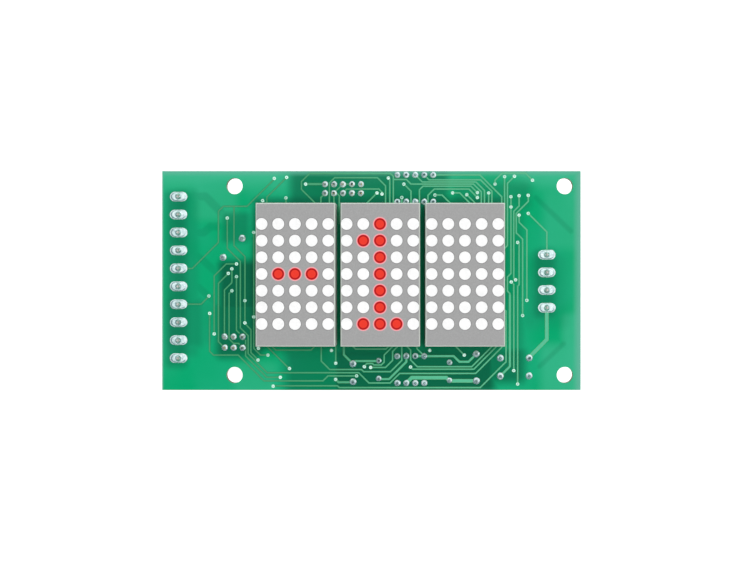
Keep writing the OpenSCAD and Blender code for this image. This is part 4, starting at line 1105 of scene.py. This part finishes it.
part_joints = run_tree("part_joints", joint_tree, JOINT_INPUTS, joint_points("part_solder", True))
attach(part_joints, "solder", "part_solder")
matrix_joints = run_tree("matrix_joints", joint_tree, JOINT_INPUTS,
                         joint_points("matrix_solder", False))
attach(matrix_joints, "solder", "matrix_solder")
bpy.data.objects.remove(unit_joint)

# %% [markdown]
# ## Long pads
# The plug connectors are soldered in long round-ended pads. Solder lies thin along the pad's
# edge, floods its middle in a low dome and climbs the square pin. The surface is a fan of
# strips from the pin out to the pad's edge, and two smooth steps give its height.

# %% Pad surface
PAD_SIDES = 72
PAD_RINGS = 22
PAD_DOME = 0.24
PAD_EDGE = (0.88, 0.62)
PIN_END_R = 0.42
PIN_CLIMB = 0.62
PIN_REACH = 0.5
PAD_FOOT = 0.06
RING_POWER = 1.4
FIRST_RING = 0.0001
PIN_INSET = 0.8


def pad_edge(angle, half_length, half_width):
    """Point of a round-ended pad's edge in a direction from its middle."""
    straight = half_length - half_width
    c, s = math.cos(angle), math.sin(angle)
    if abs(s) > 1e-9 and abs(half_width / s * c) <= straight:
        reach = half_width / abs(s)
    else:
        side = straight * abs(c)
        square = side * side - straight * straight + half_width * half_width
        reach = side + math.sqrt(max(0.0, square))
    return Vector((c * reach, s * reach))


def rise(value, foot, top):
    """Smooth step from 0 at the foot to 1 at the top."""
    share = min(1, max(0, (value - foot) / (top - foot)))
    return share * share * (3 - 2 * share)


def pad_surface(half_length, half_width):
    """Closed surface of one pad's solder, highest at the pin in its middle."""
    build = bmesh.new()
    shares = [FIRST_RING + (ring / PAD_RINGS) ** RING_POWER for ring in range(PAD_RINGS)]
    shares = [0] + shares + [1]
    rings = []
    for t in shares:
        row = []
        for k in range(PAD_SIDES):
            angle = 2 * math.pi * k / PAD_SIDES
            inner = Vector((math.cos(angle), math.sin(angle))) * PIN_END_R
            flat = inner.lerp(pad_edge(angle, half_length, half_width), t)
            climb = PIN_CLIMB * rise(flat.length, PIN_END_R + PIN_REACH, PIN_END_R)
            z = PAD_FOOT + PAD_DOME * rise(t, *PAD_EDGE) + climb
            row.append(build.verts.new((flat.x, flat.y, z)))
        rings.append(row)
    top = [build.verts.new((v.co.x * PIN_INSET, v.co.y * PIN_INSET, v.co.z)) for v in rings[0]]
    foot = [build.verts.new((v.co.x, v.co.y, 0)) for v in rings[-1]]
    return stitch(build, list(reversed([top] + rings + [foot])))


print("pad solder climbs %.2f mm to the pin" % (PAD_DOME + PIN_CLIMB))

# %% Pad joints
for piece_name, source_name in (("signal_pad_joints", "signal_solder"),
                                ("power_pad_joints", "power_solder")):
    pads = islands(source_name)
    half = pads[0][1]
    unit_pad = new_object("unit_pad", pad_surface(half.x, half.y))
    rows = [((middle.x, middle.y, front_z), (1, 1, 1), (0, 0, 0)) for middle, half in pads]
    inputs = {**JOINT_INPUTS, "Joint": unit_pad, "Seed": 0, "Spin": 0.0, "Lumps": 0.0002}
    pad_joints = run_tree(piece_name, joint_tree, inputs, points_mesh(rows))
    bpy.data.objects.remove(unit_pad)
    attach(pad_joints, "solder", source_name)

# %% [markdown]
# ## Track shoulders
# The film over a track thins at its two edges. The tree takes the upper rim of the copper
# solids, turns it into curves and sweeps a small round along them.

# %% Shoulder tree
SHOULDER_R = 0.035
SHARP = 1.0

shoulder_tree, give, take = new_tree(
    "shoulders", {"Radius": 0.0, "Level": 0.0, "Side": 1.0, "Finish": shoulder_mask})
angle = get(shoulder_tree, "GeometryNodeInputMeshEdgeAngle")
sharp = get(shoulder_tree, "FunctionNodeCompare", {0: angle, 1: SHARP}, operation="GREATER_THAN")
spot = get(shoulder_tree, "GeometryNodeInputPosition")
height = get(shoulder_tree, "ShaderNodeSeparateXYZ", {0: spot}, 2)
above = calc(shoulder_tree, "SUBTRACT", height, give["Level"])
above = calc(shoulder_tree, "MULTIPLY", above, give["Side"])
outer = get(shoulder_tree, "FunctionNodeCompare", {0: above, 1: 0.0}, operation="GREATER_THAN")
rim = get(shoulder_tree, "FunctionNodeBooleanMath", {0: sharp, 1: outer}, operation="AND")
paths = get(shoulder_tree, "GeometryNodeMeshToCurve", {"Mesh": give["Geometry"], "Selection": rim})
section = get(shoulder_tree, "GeometryNodeCurvePrimitiveCircle",
              {"Resolution": 6, "Radius": give["Radius"]})
swept = get(shoulder_tree, "GeometryNodeCurveToMesh", {"Curve": paths, "Profile Curve": section})
end_tree(shoulder_tree, swept, give["Finish"], take)
print("shoulder tree:", len(shoulder_tree.nodes), "nodes")


# %% Shoulders
def merged_copy(name):
    """A node's mesh with its loose triangles joined."""
    build = bmesh.new()
    build.from_mesh(nodes[name].data)
    bmesh.ops.remove_doubles(build, verts=build.verts, dist=1e-7)
    bmesh.ops.dissolve_limit(build, angle_limit=0.01, verts=build.verts, edges=build.edges)
    mesh = bpy.data.meshes.new(name + "_merged")
    build.to_mesh(mesh)
    build.free()
    return mesh


copper_low, copper_high = span("front_tracks")
middle = (copper_low.z + copper_high.z) / 2
shoulder_inputs = {"Radius": SHOULDER_R * MM, "Level": middle * MM, "Side": 1.0,
                   "Finish": shoulder_mask}
shoulders = run_tree("track_shoulders", shoulder_tree, shoulder_inputs, merged_copy("front_tracks"))
attach(shoulders, "masked_copper")

# %% [markdown]
# ## The choke's winding
# Enamelled wire lies on the drum turn beside turn. A spiral curve, swept with a round of the
# wire's size, gives every turn its own highlight, which a plain sleeve of copper lacks.

# %% Winding
WIRE_D = 0.55

winding_tree, give, take = new_tree(
    "winding", {"Turns": 10.0, "Radius": 0.0, "Height": 0.0, "Wire": 0.0, "Finish": wire_enamel})
spiral = get(winding_tree, "GeometryNodeCurveSpiral", {
    "Resolution": 40, "Rotations": give["Turns"], "Start Radius": give["Radius"],
    "End Radius": give["Radius"], "Height": give["Height"]})
section = get(winding_tree, "GeometryNodeCurvePrimitiveCircle",
              {"Resolution": 8, "Radius": give["Wire"]})
wire = get(winding_tree, "GeometryNodeCurveToMesh",
           {"Curve": spiral, "Profile Curve": section, "Fill Caps": True})
smooth = get(winding_tree, "GeometryNodeSetShadeSmooth", {"Geometry": wire})
end_tree(winding_tree, smooth, give["Finish"], take)

low, high = span("choke_winding")
tall = high.z - low.z - WIRE_D
wire_r = WIRE_D / 2
winding_inputs = {"Turns": tall / WIRE_D, "Radius": ((high.x - low.x) / 2 - wire_r) * MM,
                  "Height": tall * MM, "Wire": wire_r * MM, "Finish": wire_enamel}
winding = run_tree("choke_wire", winding_tree, winding_inputs)
foot = Vector(((low.x + high.x) / 2, (low.y + high.y) / 2, low.z + wire_r)) * MM
winding.data.transform(Matrix.Translation(foot))
attach(winding, "enamelled_wire", "choke_winding")
